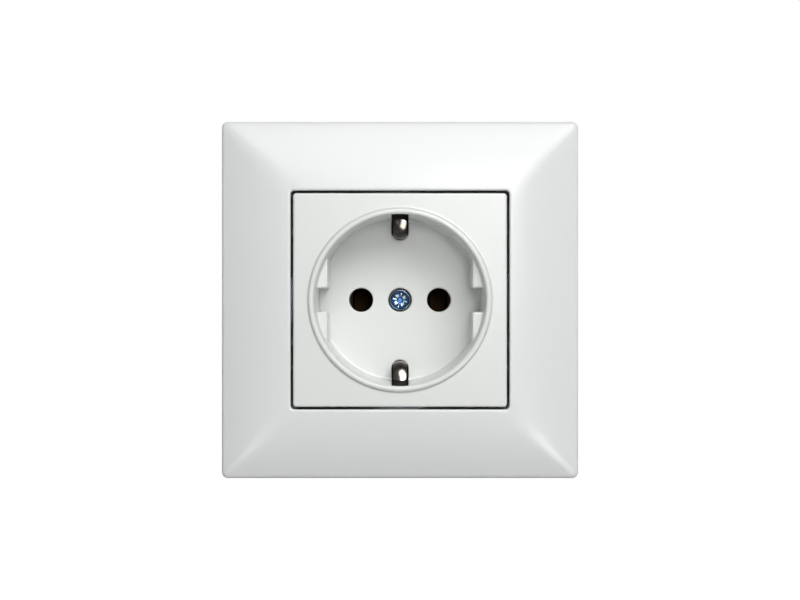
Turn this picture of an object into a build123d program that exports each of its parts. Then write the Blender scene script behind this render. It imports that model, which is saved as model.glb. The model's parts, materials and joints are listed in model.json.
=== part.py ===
from build123d import *
import os
from math import cos, radians, sin, sqrt

# Flush wall socket, two poles with side earth clips, in millimetres.
# X runs to the right, Y into the wall and Z up. The wall surface is the plane y = 0.
# The origin is the middle of the two box screws, 60 mm apart, on that plane.
# A height stands in front of the wall (y is its negative), a depth lies behind it.

# Joined shapes run into each other, and cuts run past a face, by this much
overlap = 0.1

# Plug recess
recess_radius = 19.7
recess_depth = 17.5
rim_height = 0.7
rim_width = 1.8
rim_inner_round = 0.3
lead_in_width = 0.5
lead_in_depth = 2.4
rim_outer_round = 0.6
cup_wall = 1.3
cup_floor = 2.0
floor_round = 0.4
guide_width = 2.7
guide_drop = 2.9
guide_channel = 5.6
pin_spacing = 19.0
pin_hole_radius = 2.92
pin_collar_wall = 1.3
slot_width = 4.1
slot_length = 5.1
slot_lip = 0.6

# Cover plate
plate_margin = 3.45
plate_gap = 0.6
plate_height = 9.5
plate_thickness = 2.0
plate_corner = 0.8
plate_edge_round = 0.4
plate_skirt_wall = 1.3
plate_skirt_height = 5.5
plate_leg_width = 8.45
plate_rib = 1.2

# Cover frame
frame_margin = 7.0
frame_corner = 1.4
frame_edge_height = 6.2
frame_face_height = 9.6
frame_wall = 1.8
frame_edge_round = 1.0
frame_face_power = 2.0
mitre_radius = 4.2
collar_wall = 1.4
collar_corner = 0.9
window_width = 12.0
window_height = 7.0
ledge_width = 1.5
ledge_thickness = 1.2
ledge_length = 10.05
frame_rib = 1.0
frame_rib_place = 17.0

# Centre screw, M3
screw_radius = 1.5
screw_travel = 5.0
screw_head_radius = 2.5
screw_head_height = 2.0
screw_head_sink = 0.3
head_round = 0.7
head_hole_radius = 2.89
washer_thickness = 0.5
washer_radius = 2.6
boss_radius = 4.5
boss_seat = 1.5
thread_clearance = 0.05
hole_clearance = 0.2
hole_end_gap = 0.5
screw_point = 0.4

# Cross recesses in the screw heads
cross_size = 3.1
cross_depth = 1.4
cross_arm = 0.9
cross_foot_size = 1.0
cross_foot_arm = 0.45

# Earth strip, clips and bracket
strip_thickness = 0.8
strip_width = 8.0
strip_corner = 1.5
strip_gap = 0.2
clip_width = 3.3
clip_crown = 0.5
clip_bulge_reach = 4.0
clip_bulge_rise = 2.4
clip_straight = 2.0
clip_nose_radius = 3.9
clip_nose_turn = 85
clip_tip_round = 1.0
clip_bend_gap = 1.4
clip_bend_radius = 1.1
clip_bend_length = 2.4
strip_collar_radius = 2.4
strip_collar_length = 1.9
strip_screw_gap = 1.3
strip_screw_radius = 1.25
strip_screw_head_radius = 2.2
strip_screw_head_height = 1.3
strip_screw_length = 8.0
strip_cross_size = 2.4
strip_cross_depth = 0.8
tab_toe = 0.8
tab_rise = 2.8

# Support bridge
bridge_thickness = 1.0
bridge_corner = 6.0
bridge_land = 1.4
box_slot_length = 7.2
box_slot_width = 3.6
box_slot_land = 3.8
spare_hole_radius = 1.7

# Base
skirt_gap = 0.4
skirt_wall = 1.2
contact_cover_thickness = 2.0
base_floor = 1.9
base_back_wall = 2.3
block_wall = 1.55
block_shoulder = 2.0
block_bottom = 15.5
block_step = 1.3
block_chamfer = 3.0
chamber_gap = 0.2

# Bridge rivets
rivet_gap = 2.9
rivet_radius = 1.5
rivet_head_radius = 2.5
rivet_head_height = 0.8
rivet_tail_radius = 2.1
rivet_bore = 0.8
rivet_bore_depth = 2.0
lug_radius = 3.2
lug_depth = 4.0
small_chamfer = 0.3

# Pin contacts
pin_radius = 2.4
pin_length = 19.0
contact_thickness = 0.8
contact_height = 6.4
contact_grip = 0.05
contact_waist = 1.9
contact_waist_depth = 3.4
contact_flare = 3.3
contact_front_gap = 1.0
contact_tail_gap = 0.2
contact_arm_width = 4.2
contact_bend_room = 0.3
spring_thickness = 0.5
spring_height = 4.0
spring_gap = 0.04
spring_lean = 0.08
spring_start = 1.6
spring_end = 0.7

# Terminals, M3.5
terminal_tab_width = 4.0
terminal_length = 7.0
terminal_inset = 2.0
terminal_travel = 3.0
terminal_screw_radius = 1.75
terminal_head_radius = 2.7
terminal_head_height = 1.8
terminal_head_sink = 0.2
terminal_slot_width = 0.9
terminal_slot_depth = 1.0
terminal_shelf = 1.2
cage_wall = 1.0
cage_round = 0.6
cage_side_gap = 0.3
cage_top_wall = 1.6
cage_top_gap = 0.4
wire_gap = 3.2
tab_end_gap = 1.5

# Claws, screws M3
claw_angle = 27.0
claw_gap = 2.0
claw_thickness = 1.2
claw_width = 8.4
claw_inward = 2.7
claw_outward = 4.3
claw_plate_depth = 21.0
claw_cheek_length = 5.0
claw_cheek_inward = 1.9
claw_cheek_top = 2.2
claw_cheek_inset = 0.6
claw_travel = 6.0
claw_tilt = 12.0
claw_tooth_height = 1.3
claw_tooth_point = 0.3
claw_collar_radius = 2.4
claw_collar_length = 2.0
claw_screw_radius = 1.5
claw_screw_tail = 1.7
claw_head_radius = 2.5
claw_head_height = 1.7
claw_cross_size = 2.9
claw_cross_depth = 1.1
saddle_radius = 2.9
saddle_length = 5.0
saddle_window = 4.4
saddle_land = 0.25
ramp_gap = 0.25
ramp_front_depth = 2.0
ramp_lead = 2.5

# Radii round the recess, from its wall outwards to the rivets
rim_outer_radius = recess_radius + rim_width
mouth_radius = recess_radius + lead_in_width
guide_chord = recess_radius - guide_width
slot_inner_end = recess_radius - slot_length
cup_outer_radius = recess_radius + cup_wall
skirt_inner_radius = cup_outer_radius + skirt_gap
skirt_outer_radius = skirt_inner_radius + skirt_wall
block_lower_radius = skirt_outer_radius - block_step
claw_radius = skirt_outer_radius + claw_gap
rivet_place = skirt_outer_radius + rivet_gap

# Half sizes of the plate, the opening, the bridge and the frame
plate_half = rim_outer_radius + plate_margin
opening_half = plate_half + plate_gap
collar_half = opening_half + collar_wall
box_screw_place = skirt_outer_radius + box_slot_land + box_slot_length / 2
bridge_half = box_screw_place + box_slot_length / 2 + bridge_land
frame_half = bridge_half + frame_margin

# Places of the holes in the bridge
spare_hole_place = bridge_half - bridge_corner
rivet_reach = rivet_place / sqrt(2)
rivet_places = [(x, z) for x in (-rivet_reach, rivet_reach) for z in (-rivet_reach, rivet_reach)]

# Levels along Y, from the front of the rim to the tip of a plug's pin
plate_front = -plate_height
plate_back = plate_front + plate_thickness
rim_front = plate_front - rim_height
floor_front = rim_front + recess_depth
floor_back = floor_front + cup_floor
head_front = floor_front + screw_head_sink
head_back = head_front + screw_head_height
washer_back = head_back + washer_thickness
boss_back = washer_back + boss_seat
strip_front = boss_back + strip_gap
strip_back = strip_front + strip_thickness
cover_back = strip_back + contact_cover_thickness
screw_tip = strip_front + screw_travel
bridge_front = -bridge_thickness
ledge_front = bridge_front - ledge_thickness
pin_tip = floor_front + pin_length

# Levels of the pin contacts, the base's back and the terminals
contact_front = cover_back + contact_front_gap
contact_web = pin_tip + contact_tail_gap + contact_thickness / 2
contact_waist_level = contact_front + contact_waist_depth
contact_chamber_back = (
    pin_tip + 2 * contact_tail_gap + contact_thickness + spring_thickness + chamber_gap
)
base_depth = contact_chamber_back + base_back_wall
terminal_depth = base_depth - terminal_inset - terminal_length
terminal_middle = terminal_depth + terminal_length / 2
tab_end = terminal_depth + terminal_length + tab_end_gap / 2

# Heights of the earth bracket and the terminals above the middle
strip_screw_place = boss_radius + strip_screw_gap + strip_screw_head_radius
terminal_height = strip_screw_place + tab_rise
tab_foot = strip_screw_place - strip_screw_head_radius - tab_toe
tab_low = terminal_height - contact_thickness / 2
tab_high = terminal_height + contact_thickness / 2
cage_low = tab_low - wire_gap - cage_wall
cage_inner_top = tab_high + terminal_travel + cage_top_gap
cage_high = cage_inner_top + cage_top_wall
shelf_low = cage_high + terminal_travel + chamber_gap
head_seat = shelf_low + terminal_shelf
block_top = head_seat + terminal_head_height + terminal_head_sink

# Sideways places of the pins, the contacts' arms and the terminals
pin_place = pin_spacing / 2
arm_place = pin_place + pin_radius - contact_grip + contact_thickness / 2
side_terminal = arm_place + contact_thickness / 2 + terminal_tab_width / 2 + contact_bend_room
cage_half = terminal_tab_width / 2 + cage_side_gap + cage_wall
block_half_width = side_terminal + cage_half + chamber_gap + block_wall

# Claws, by their distance from the axis and their level
claw_outer_radius = claw_radius + claw_outward
claw_cheek_radius = claw_radius - claw_cheek_inward
claw_cheek_depth = claw_plate_depth - claw_cheek_length
claw_pivot_level = bridge_front - sqrt(saddle_radius**2 - (saddle_window / 2) ** 2)


def rod(radius, start, end, x=0.0, z=0.0):
    """A round bar along Y, between two levels."""
    middle = Pos(x, (start + end) / 2, z)
    return middle * Rot(90, 0, 0) * Cylinder(radius, abs(end - start))


def upright(radius, bottom, top, x=0.0, y=0.0):
    """A round bar along Z, between two heights."""
    return Pos(x, y, (bottom + top) / 2) * Cylinder(radius, top - bottom)


def block(x, y, z):
    """A box from its three (low, high) pairs."""
    middle = Pos((x[0] + x[1]) / 2, (y[0] + y[1]) / 2, (z[0] + z[1]) / 2)
    return middle * Box(x[1] - x[0], y[1] - y[0], z[1] - z[0])


def slab(outline, start, end):
    """A flat outline, drawn as seen from the front, thickened between two levels."""
    return extrude(Plane.XZ.offset(-end) * outline, amount=end - start)


def square(half, corner):
    """A square outline with rounded corners."""
    return RectangleRounded(2 * half, 2 * half, corner)


def both_sides(shape):
    """A shape and its mirror image on the other side of the middle plane x = 0."""
    return shape + mirror(shape, about=Plane.YZ)


def quarter_turns(shape):
    """A shape repeated on all four sides of the socket."""
    turned = [Rot(0, 90 * side, 0) * shape for side in range(4)]
    return turned[0] + turned[1:]


def place_claw(shape):
    """Turns a claw piece, drawn with its outward direction along X, to its place on the right."""
    return Rot(0, claw_angle, 0) * shape


def folded_sheet(path, width, thickness):
    """A bent strip along a flat path in the plane x = 0, as wide as stated along X."""
    start = Plane(origin=path @ 0, z_dir=path % 0, x_dir=(1, 0, 0))
    return sweep(start * Rectangle(width, thickness), path=path)


def pan_head(radius, height, back):
    """A round screw head in front of a level, with a rounded rim."""
    head = rod(radius, back - height, back)
    rim = head.edges().filter_by(GeomType.CIRCLE).sort_by(Axis.Y)[0]
    return fillet(rim, head_round)


def low_head(radius, height, back):
    """A low round head in front of a level, with a bevelled rim."""
    head = rod(radius, back - height, back)
    rim = head.edges().filter_by(GeomType.CIRCLE).sort_by(Axis.Y)[0]
    return chamfer(rim, small_chamfer)


def cross_recess(size, depth, front):
    """A tapered cross recess, to be cut from a screw head."""
    mouth = Rectangle(size, cross_arm) + Rectangle(cross_arm, size)
    foot = Rectangle(cross_foot_size, cross_foot_arm) + Rectangle(cross_foot_arm, cross_foot_size)
    mouth_wire = Plane.XZ.offset(-front) * mouth
    foot_wire = Plane.XZ.offset(-front - depth) * foot
    return loft([mouth_wire.faces()[0], foot_wire.faces()[0]], ruled=True)


# Cover frame: four curved faces whose mitres open into soft bands towards the opening
def frame_shell(half, edge_height, face_height, corner):
    """The frame's outer form: a side wall and a face that flattens towards the opening."""
    inner_half = opening_half - collar_wall
    sections = []
    for step in range(5):
        share = 1 - step / 4
        size = inner_half + (half - inner_half) * share
        height = face_height - (face_height - edge_height) * share**frame_face_power
        radius = mitre_radius + (corner - mitre_radius) * share
        sections.append(Plane.XZ.offset(height) * square(size, radius))
    face = loft(sections)
    return slab(square(half, corner), -edge_height, 0) + face


def make_cover_frame():
    outer = frame_shell(frame_half, frame_edge_height, frame_face_height, frame_corner)
    seam = -frame_edge_height
    rim = outer.edges().filter_by_position(Axis.Y, seam - 0.01, seam + 0.01)
    outer = fillet(rim, frame_edge_round)
    cavity = frame_shell(
        frame_half - frame_wall,
        frame_edge_height - frame_wall,
        frame_face_height - frame_wall,
        frame_corner,
    )

    # The collar stands on the bridge, so it and the ribs behind the faces end in front of it
    collar_space = slab(
        square(collar_half, collar_corner + collar_wall), -frame_face_height, bridge_front
    )
    rib = block(
        (frame_rib_place - frame_rib / 2, frame_rib_place + frame_rib / 2),
        (-frame_face_height, bridge_front - chamber_gap),
        (collar_half - collar_wall / 2, frame_half),
    )
    cavity -= collar_space
    cavity -= quarter_turns(both_sides(rib))
    frame = outer - cavity
    frame -= slab(square(opening_half, collar_corner), -frame_face_height - overlap, overlap)

    # Corner ledges that the cover plate presses on
    ledge = slab(
        square(opening_half + collar_wall / 2, collar_corner)
        - square(opening_half - ledge_width, collar_corner),
        ledge_front,
        bridge_front,
    )
    gap = opening_half - ledge_length
    cross = block((-gap, gap), (-frame_face_height, 0), (-frame_half, frame_half))
    cross += Rot(0, 90, 0) * cross
    frame += ledge - cross

    # Openings in the collar that clear the heads of the box screws
    window = block(
        (-window_width / 2, window_width / 2),
        (-window_height, 0),
        (opening_half - ledge_width, collar_half + chamber_gap),
    )
    return frame - quarter_turns(window)


# Cover plate with the plug recess, moulded in one piece
def make_cover_plate():
    body = slab(square(plate_half, plate_corner), -plate_height, -plate_skirt_height)
    front_edges = body.edges().group_by(Axis.Y)[0]
    body = fillet(front_edges, plate_edge_round)
    inner = plate_half - plate_skirt_wall
    body -= slab(square(inner, plate_corner), plate_back, 0)

    # Corner legs reach back to the ledges of the frame
    leg = slab(
        square(plate_half, plate_corner) - square(inner, plate_corner),
        -plate_skirt_height,
        ledge_front,
    )
    gap = plate_half - plate_leg_width
    middle = block((-gap, gap), (-plate_height, 0), (-plate_half, plate_half))
    body += leg - (middle + Rot(0, 90, 0) * middle)

    # Diagonal ribs from the cup to the corners
    for turn in (45, 135, 225, 315):
        reach = inner * sqrt(2) - plate_corner
        rib = block(
            (cup_outer_radius - cup_wall / 2, reach),
            (plate_back - overlap, ledge_front - ledge_thickness),
            (-plate_rib / 2, plate_rib / 2),
        )
        body += Rot(0, turn, 0) * rib

    # Rim bead and cup, whose mouth narrows to lead the plug in
    bead = rod(rim_outer_radius, rim_front, plate_back)
    body += fillet(bead.edges().filter_by(GeomType.CIRCLE).sort_by(Axis.Y)[0], rim_outer_round)
    body += rod(cup_outer_radius, plate_back - overlap, floor_back)
    hollow = rod(recess_radius, rim_front - overlap, floor_front)
    body -= fillet(hollow.edges().filter_by(GeomType.CIRCLE).sort_by(Axis.Y)[-1], floor_round)
    past = overlap * lead_in_width / lead_in_depth
    lead_in = Cone(recess_radius - past, mouth_radius + past, lead_in_depth + 2 * overlap)
    body -= Pos(0, rim_front + lead_in_depth / 2, 0) * Rot(90, 0, 0) * lead_in
    lip = body.edges().filter_by(GeomType.CIRCLE).group_by(Axis.Y)[0].sort_by(SortBy.RADIUS)[0]
    body = fillet(lip, rim_inner_round)

    # Slots that the earth clips come through, from the floor up the wall to under the lip
    half = slot_width / 2
    slot = rod(half, floor_front - overlap, floor_back + overlap, 0, slot_inner_end + half)
    slot += block(
        (-half, half),
        (plate_back, floor_back + overlap),
        (slot_inner_end + half, cup_outer_radius + cup_wall),
    )
    slot += block(
        (-half, half),
        (rim_front + slot_lip, plate_back + overlap),
        (slot_inner_end + half, cup_outer_radius - overlap),
    )
    above_floor = recess_radius - cup_floor
    slot -= block((-half, half), (rim_front, floor_front), (0, above_floor))
    body -= slot
    body -= Rot(0, 180, 0) * slot

    # Guide segments left and right, each split by a channel
    guide = rod(recess_radius + cup_wall / 2, rim_front + guide_drop, floor_front + overlap)
    guide &= block(
        (guide_chord, cup_outer_radius), (rim_front, floor_back), (-recess_radius, recess_radius)
    )
    guide -= block(
        (0, recess_radius), (rim_front, floor_front), (-guide_channel / 2, guide_channel / 2)
    )
    body += both_sides(guide)

    # Collars round the pin holes and the boss of the centre screw
    collar_back = strip_back - strip_gap
    outer = pin_hole_radius + pin_collar_wall
    body += both_sides(rod(outer, floor_back - overlap, collar_back, pin_place))
    body += rod(boss_radius, floor_back - overlap, boss_back)
    body -= both_sides(rod(pin_hole_radius, floor_front - overlap, strip_back, pin_place))
    body -= rod(head_hole_radius, floor_front - overlap, washer_back)
    body -= rod(screw_radius + hole_clearance, head_back, boss_back + overlap)
    return body


# Centre screw and its captive washer
def make_centre_screw():
    screw = pan_head(screw_head_radius, screw_head_height, head_back)
    screw += rod(screw_radius, head_back - overlap, screw_tip)
    tip = screw.edges().filter_by(GeomType.CIRCLE).sort_by(Axis.Y)[-1]
    screw = chamfer(tip, screw_point)
    return screw - cross_recess(cross_size, cross_depth, head_front)


def make_screw_washer():
    return rod(washer_radius, head_back, washer_back) - rod(
        screw_radius + thread_clearance, head_back, washer_back
    )


# Earth strip: flat on the contact cover, with a crowned clip at each end
def clip_section():
    """The clip's cross-section, crowned towards the middle of the recess."""
    half = clip_width / 2
    t = strip_thickness
    front = ThreePointArc((-half, t / 2), (0, t / 2 + clip_crown), (half, t / 2))
    back = ThreePointArc((half, -t / 2), (0, clip_crown - t / 2), (-half, -t / 2))
    sides = [Line((half, t / 2), (half, -t / 2)), Line((-half, -t / 2), (-half, t / 2))]
    return make_face([front, sides[0], back, sides[1]])


def make_clip():
    """The upper spring clip, from the strip round its bend to its free tip."""
    middle = (strip_front + strip_back) / 2
    bend = recess_radius - clip_bend_gap
    bulge = recess_radius - clip_bulge_reach
    bulge_start = floor_front - clip_bulge_rise
    nose = bulge_start - clip_straight
    spring = FilletPolyline(
        (middle, bend - clip_bend_length),
        (middle, bend),
        (bulge_start, bulge),
        (nose, bulge),
        radius=clip_bend_radius,
    )
    tip = CenterArc((nose, bulge + clip_nose_radius), clip_nose_radius, 270, -clip_nose_turn)
    path = Plane.YZ * Wire(spring.edges() + tip.edges())
    start = Plane(origin=path @ 0, z_dir=path % 0, x_dir=(-1, 0, 0))
    clip = sweep(start * clip_section(), path=path)
    end = clip.faces().filter_by(GeomType.PLANE).sort_by_distance(path @ 1)[0]
    return fillet(end.edges().filter_by(GeomType.LINE), clip_tip_round)


def make_earth_strip():
    end = recess_radius - clip_bend_gap - clip_bend_length + overlap
    outline = Rectangle(strip_width, 2 * slot_inner_end)
    outline += Rectangle(clip_width, 2 * end)
    strip = slab(outline, strip_front, strip_back)
    sides = strip.edges().filter_by(Axis.Y)
    strip = fillet(sides.group_by(Axis.X)[0] + sides.group_by(Axis.X)[-1], strip_corner)
    clip = make_clip()
    strip += clip
    strip += mirror(clip, about=Plane.XY)
    strip += rod(strip_collar_radius, strip_front, strip_back + strip_collar_length)
    strip -= rod(screw_radius + thread_clearance, strip_front - overlap, cover_back)
    for z in (-strip_screw_place, strip_screw_place):
        strip -= rod(strip_screw_radius + hole_clearance, strip_front - overlap, cover_back, 0, z)
    return strip


def make_earth_tab():
    """Bracket whose foot lies under the strip and whose arm is the earth terminal's tab."""
    foot = strip_back + strip_thickness / 2
    path = Plane.YZ * FilletPolyline(
        (foot, tab_foot),
        (foot, terminal_height),
        (tab_end, terminal_height),
        radius=strip_thickness,
    )
    tab = folded_sheet(path, terminal_tab_width, strip_thickness)
    return tab - rod(
        strip_screw_radius + hole_clearance, strip_front, cover_back, 0, strip_screw_place
    )


def make_strip_screws():
    screws = []
    for z in (-strip_screw_place, strip_screw_place):
        screw = low_head(strip_screw_head_radius, strip_screw_head_height, strip_front)
        screw += rod(strip_screw_radius, strip_front - overlap, strip_front + strip_screw_length)
        front = strip_front - strip_screw_head_height
        screw -= cross_recess(strip_cross_size, strip_cross_depth, front)
        screws.append(Pos(0, 0, z) * screw)
    return Compound(children=screws)


# Support bridge: the pressed steel plate that the wall box carries
def make_support_bridge():
    outline = square(bridge_half, bridge_corner) - Circle(skirt_inner_radius)
    slot = SlotOverall(box_slot_length, box_slot_width)
    window = Rectangle(saddle_window, saddle_length + 2 * hole_clearance)
    spare = Pos(spare_hole_place, spare_hole_place) * Circle(spare_hole_radius)
    for turn in range(4):
        outline -= Rot(0, 0, 90 * turn) * (Pos(box_screw_place, 0) * slot + spare)
    for x, z in rivet_places:
        outline -= Pos(x, z) * Circle(rivet_radius + thread_clearance)
    outline -= Rot(0, 0, -claw_angle) * Pos(claw_radius, 0) * window
    outline -= Rot(0, 0, 180 + claw_angle) * Pos(claw_radius, 0) * window
    return slab(outline, bridge_front, 0)


def make_bridge_rivets():
    rivets = []
    for x, z in rivet_places:
        rivet = low_head(rivet_head_radius, rivet_head_height, bridge_front)
        tail = lug_depth + rivet_head_height
        rivet += rod(rivet_radius, bridge_front - overlap, tail)
        rivet += rod(rivet_tail_radius, lug_depth, tail)
        rivet -= rod(rivet_bore, tail - rivet_bore_depth, tail + overlap)
        rivets.append(Pos(x, 0, z) * rivet)
    return Compound(children=rivets)


# Base: a pot for the cup in front and a block with three terminals behind
def claw_ramps():
    """Two ribs on the base's right side that push the claw outwards as it comes forward."""
    reach = claw_cheek_depth - claw_pivot_level
    start = claw_cheek_radius - ramp_gap
    lever = reach - claw_travel
    inward = claw_cheek_radius - claw_radius
    end_u = claw_radius + inward * cos(radians(claw_tilt)) + lever * sin(radians(claw_tilt))
    end_y = claw_pivot_level + lever * cos(radians(claw_tilt)) - inward * sin(radians(claw_tilt))
    root = skirt_inner_radius + skirt_wall / 2
    outline = Polyline(
        (root, ramp_front_depth),
        (end_u - ramp_gap, ramp_front_depth + ramp_lead),
        (end_u - ramp_gap, end_y - ramp_gap),
        (start, claw_cheek_depth - ramp_gap),
        (root, claw_cheek_depth + ramp_gap),
        close=True,
    )
    rib = extrude(make_face(outline), amount=claw_thickness)
    offset_z = claw_width / 2 - claw_thickness
    return Pos(0, 0, offset_z) * rib + Pos(0, 0, -offset_z - claw_thickness) * rib


def base_block():
    """The rear block: wide at the top for the terminals, round below for the claws."""
    top = block_top
    shoulder = block_half_width
    upper = Polyline(
        (-shoulder, block_shoulder),
        (-shoulder, top - block_chamfer),
        (-shoulder + block_chamfer, top),
        (shoulder - block_chamfer, top),
        (shoulder, top - block_chamfer),
        (shoulder, block_shoulder),
        close=True,
    )
    lower = Circle(block_lower_radius) & Pos(0, (block_shoulder - block_bottom) / 2) * Rectangle(
        2 * block_lower_radius, block_shoulder + block_bottom
    )
    return slab(make_face(upper) + lower, cover_back, base_depth)


def make_base_body():
    base = rod(skirt_outer_radius, 0, cover_back + base_floor) + base_block()
    for x, z in rivet_places:
        base += rod(lug_radius, 0, lug_depth, x, z)
    base += both_sides(place_claw(claw_ramps()))
    base -= rod(skirt_inner_radius, -overlap, cover_back)
    for x, z in rivet_places:
        base -= rod(rivet_radius + thread_clearance, -overlap, lug_depth + overlap, x, z)

    # Chambers of the pin contacts, with the channel of the arm and the slot of the tab
    wide = contact_flare + contact_thickness + chamber_gap
    chamber = block(
        (pin_place - wide, pin_place + wide),
        (cover_back - overlap, contact_chamber_back),
        (-contact_height / 2 - chamber_gap, contact_height / 2 + chamber_gap),
    )
    tab_side = side_terminal + terminal_tab_width / 2 + chamber_gap
    arm_back = contact_front + contact_arm_width + 2 * chamber_gap
    chamber += block(
        (arm_place - contact_thickness / 2 - chamber_gap, tab_side),
        (cover_back - overlap, arm_back),
        (0, tab_high + 2 * chamber_gap),
    )
    chamber += block(
        (side_terminal - terminal_tab_width / 2 - chamber_gap, tab_side),
        (cover_back - overlap, tab_end + chamber_gap),
        (tab_low - chamber_gap, tab_high + chamber_gap),
    )
    base -= both_sides(chamber)

    # Terminal chambers, open to the back for the wires, with bores for the screws on top
    for x in (-side_terminal, 0, side_terminal):
        half = cage_half + chamber_gap
        base -= block(
            (x - half, x + half),
            (terminal_depth - chamber_gap, base_depth + overlap),
            (cage_low - chamber_gap, shelf_low),
        )
        base -= upright(
            terminal_screw_radius + hole_clearance,
            shelf_low - overlap,
            block_top + overlap,
            x,
            terminal_middle,
        )
        base -= upright(
            terminal_head_radius + hole_clearance,
            head_seat,
            block_top + overlap,
            x,
            terminal_middle,
        )
    earth_slot = terminal_tab_width / 2 + chamber_gap
    base -= block(
        (-earth_slot, earth_slot),
        (cover_back - overlap, tab_end + chamber_gap),
        (tab_low - chamber_gap, tab_high + chamber_gap),
    )

    # Holes for the centre screw and the strip screws
    front = cover_back - overlap
    base -= rod(screw_radius + 2 * hole_clearance, front, screw_tip + hole_end_gap)
    back = strip_front + strip_screw_length + hole_end_gap
    for z in (-strip_screw_place, strip_screw_place):
        base -= rod(strip_screw_radius + thread_clearance, front, back, 0, z)
    return base


def make_contact_cover():
    cover = rod(skirt_inner_radius - chamber_gap, strip_back, cover_back)
    front = strip_back - overlap
    back = cover_back + overlap
    cover -= both_sides(rod(pin_hole_radius + 2 * hole_clearance, front, back, pin_place))
    cover -= rod(strip_collar_radius + hole_clearance, front, back)
    for z in (-strip_screw_place, strip_screw_place):
        cover -= rod(strip_screw_radius + hole_clearance, front, back, 0, z)
    half = terminal_tab_width / 2 + chamber_gap
    cover -= block(
        (-half, half),
        (front, strip_back + strip_thickness + chamber_gap / 2),
        (tab_foot - chamber_gap, tab_high + chamber_gap),
    )
    cover -= block(
        (-half, half), (front, back), (tab_low - 2 * chamber_gap, tab_high + chamber_gap)
    )
    return cover


# Pin contacts: a fixed outer leaf, a web behind the pin and a sprung inner leaf
def make_contact():
    fixed = pin_radius - contact_grip + contact_thickness / 2
    leaves = FilletPolyline(
        (fixed, contact_front),
        (fixed, contact_web),
        (-fixed, contact_web),
        (-contact_waist - contact_thickness / 2, contact_waist_level),
        (-contact_flare, contact_front),
        radius=contact_thickness,
    )
    leaves = Pos(pin_place, 0, 0) * leaves
    start = Plane(origin=leaves @ 0, z_dir=leaves % 0, x_dir=(0, 0, 1))
    contact = sweep(start * Rectangle(contact_height, contact_thickness), path=leaves)

    # Arm up from the fixed leaf, bent over into the terminal's tab
    arm_middle = contact_front + contact_arm_width / 2
    arm = Plane.XZ.offset(-arm_middle) * FilletPolyline(
        (arm_place, contact_height / 2 - contact_thickness / 2),
        (arm_place, terminal_height),
        (side_terminal + terminal_tab_width / 2, terminal_height),
        radius=contact_thickness,
    )
    start = Plane(origin=arm @ 0, z_dir=arm % 0, x_dir=(0, 1, 0))
    contact += sweep(start * Rectangle(contact_arm_width, contact_thickness), path=arm)
    contact += block(
        (side_terminal - terminal_tab_width / 2, side_terminal + terminal_tab_width / 2),
        (arm_middle, tab_end),
        (tab_low, tab_high),
    )
    return contact


def make_contact_spring():
    """Steel clip that presses the sprung leaf against the pin."""
    away = contact_thickness / 2 + spring_gap + spring_thickness / 2
    outer = arm_place - pin_place + away
    web = contact_web + away
    inner = contact_waist + contact_thickness / 2 + away
    line = Pos(pin_place, 0, 0) * FilletPolyline(
        (outer, contact_waist_level + spring_start),
        (outer, web),
        (-outer, web),
        (-inner - spring_lean, contact_waist_level + spring_end),
        radius=contact_thickness + away,
    )
    start = Plane(origin=line @ 0, z_dir=line % 0, x_dir=(0, 0, 1))
    return sweep(start * Rectangle(spring_height, spring_thickness), path=line)


# Terminals: a cage that rises as its screw turns against the tab
def make_terminal_cage(x):
    cage = block(
        (x - cage_half, x + cage_half),
        (terminal_depth, terminal_depth + terminal_length),
        (cage_low, cage_high),
    )
    inner = cage_half - cage_wall
    cage -= block(
        (x - inner, x + inner),
        (terminal_depth - overlap, terminal_depth + terminal_length + overlap),
        (cage_low + cage_wall, cage_inner_top),
    )
    outer_edges = [
        edge
        for edge in cage.edges().filter_by(Axis.Y)
        if abs(abs(edge.center().X - x) - cage_half) < 0.01
    ]
    cage = fillet(outer_edges, cage_round)
    bore = terminal_screw_radius + thread_clearance
    return cage - upright(bore, cage_inner_top - overlap, cage_high + overlap, x, terminal_middle)


def make_terminal_screw(x):
    screw = upright(terminal_screw_radius, tab_high, head_seat + overlap, x, terminal_middle)
    screw = chamfer(screw.edges().sort_by(Axis.Z)[0], screw_point)
    head_top = head_seat + terminal_head_height
    head = upright(terminal_head_radius, head_seat, head_top, x, terminal_middle)
    head = fillet(head.edges().sort_by(Axis.Z)[-1], screw_point)
    reach = terminal_head_radius + overlap
    slot = block(
        (x - terminal_slot_width / 2, x + terminal_slot_width / 2),
        (terminal_middle - reach, terminal_middle + reach),
        (head_top - terminal_slot_depth, head_top + overlap),
    )
    return screw + head - slot


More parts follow.
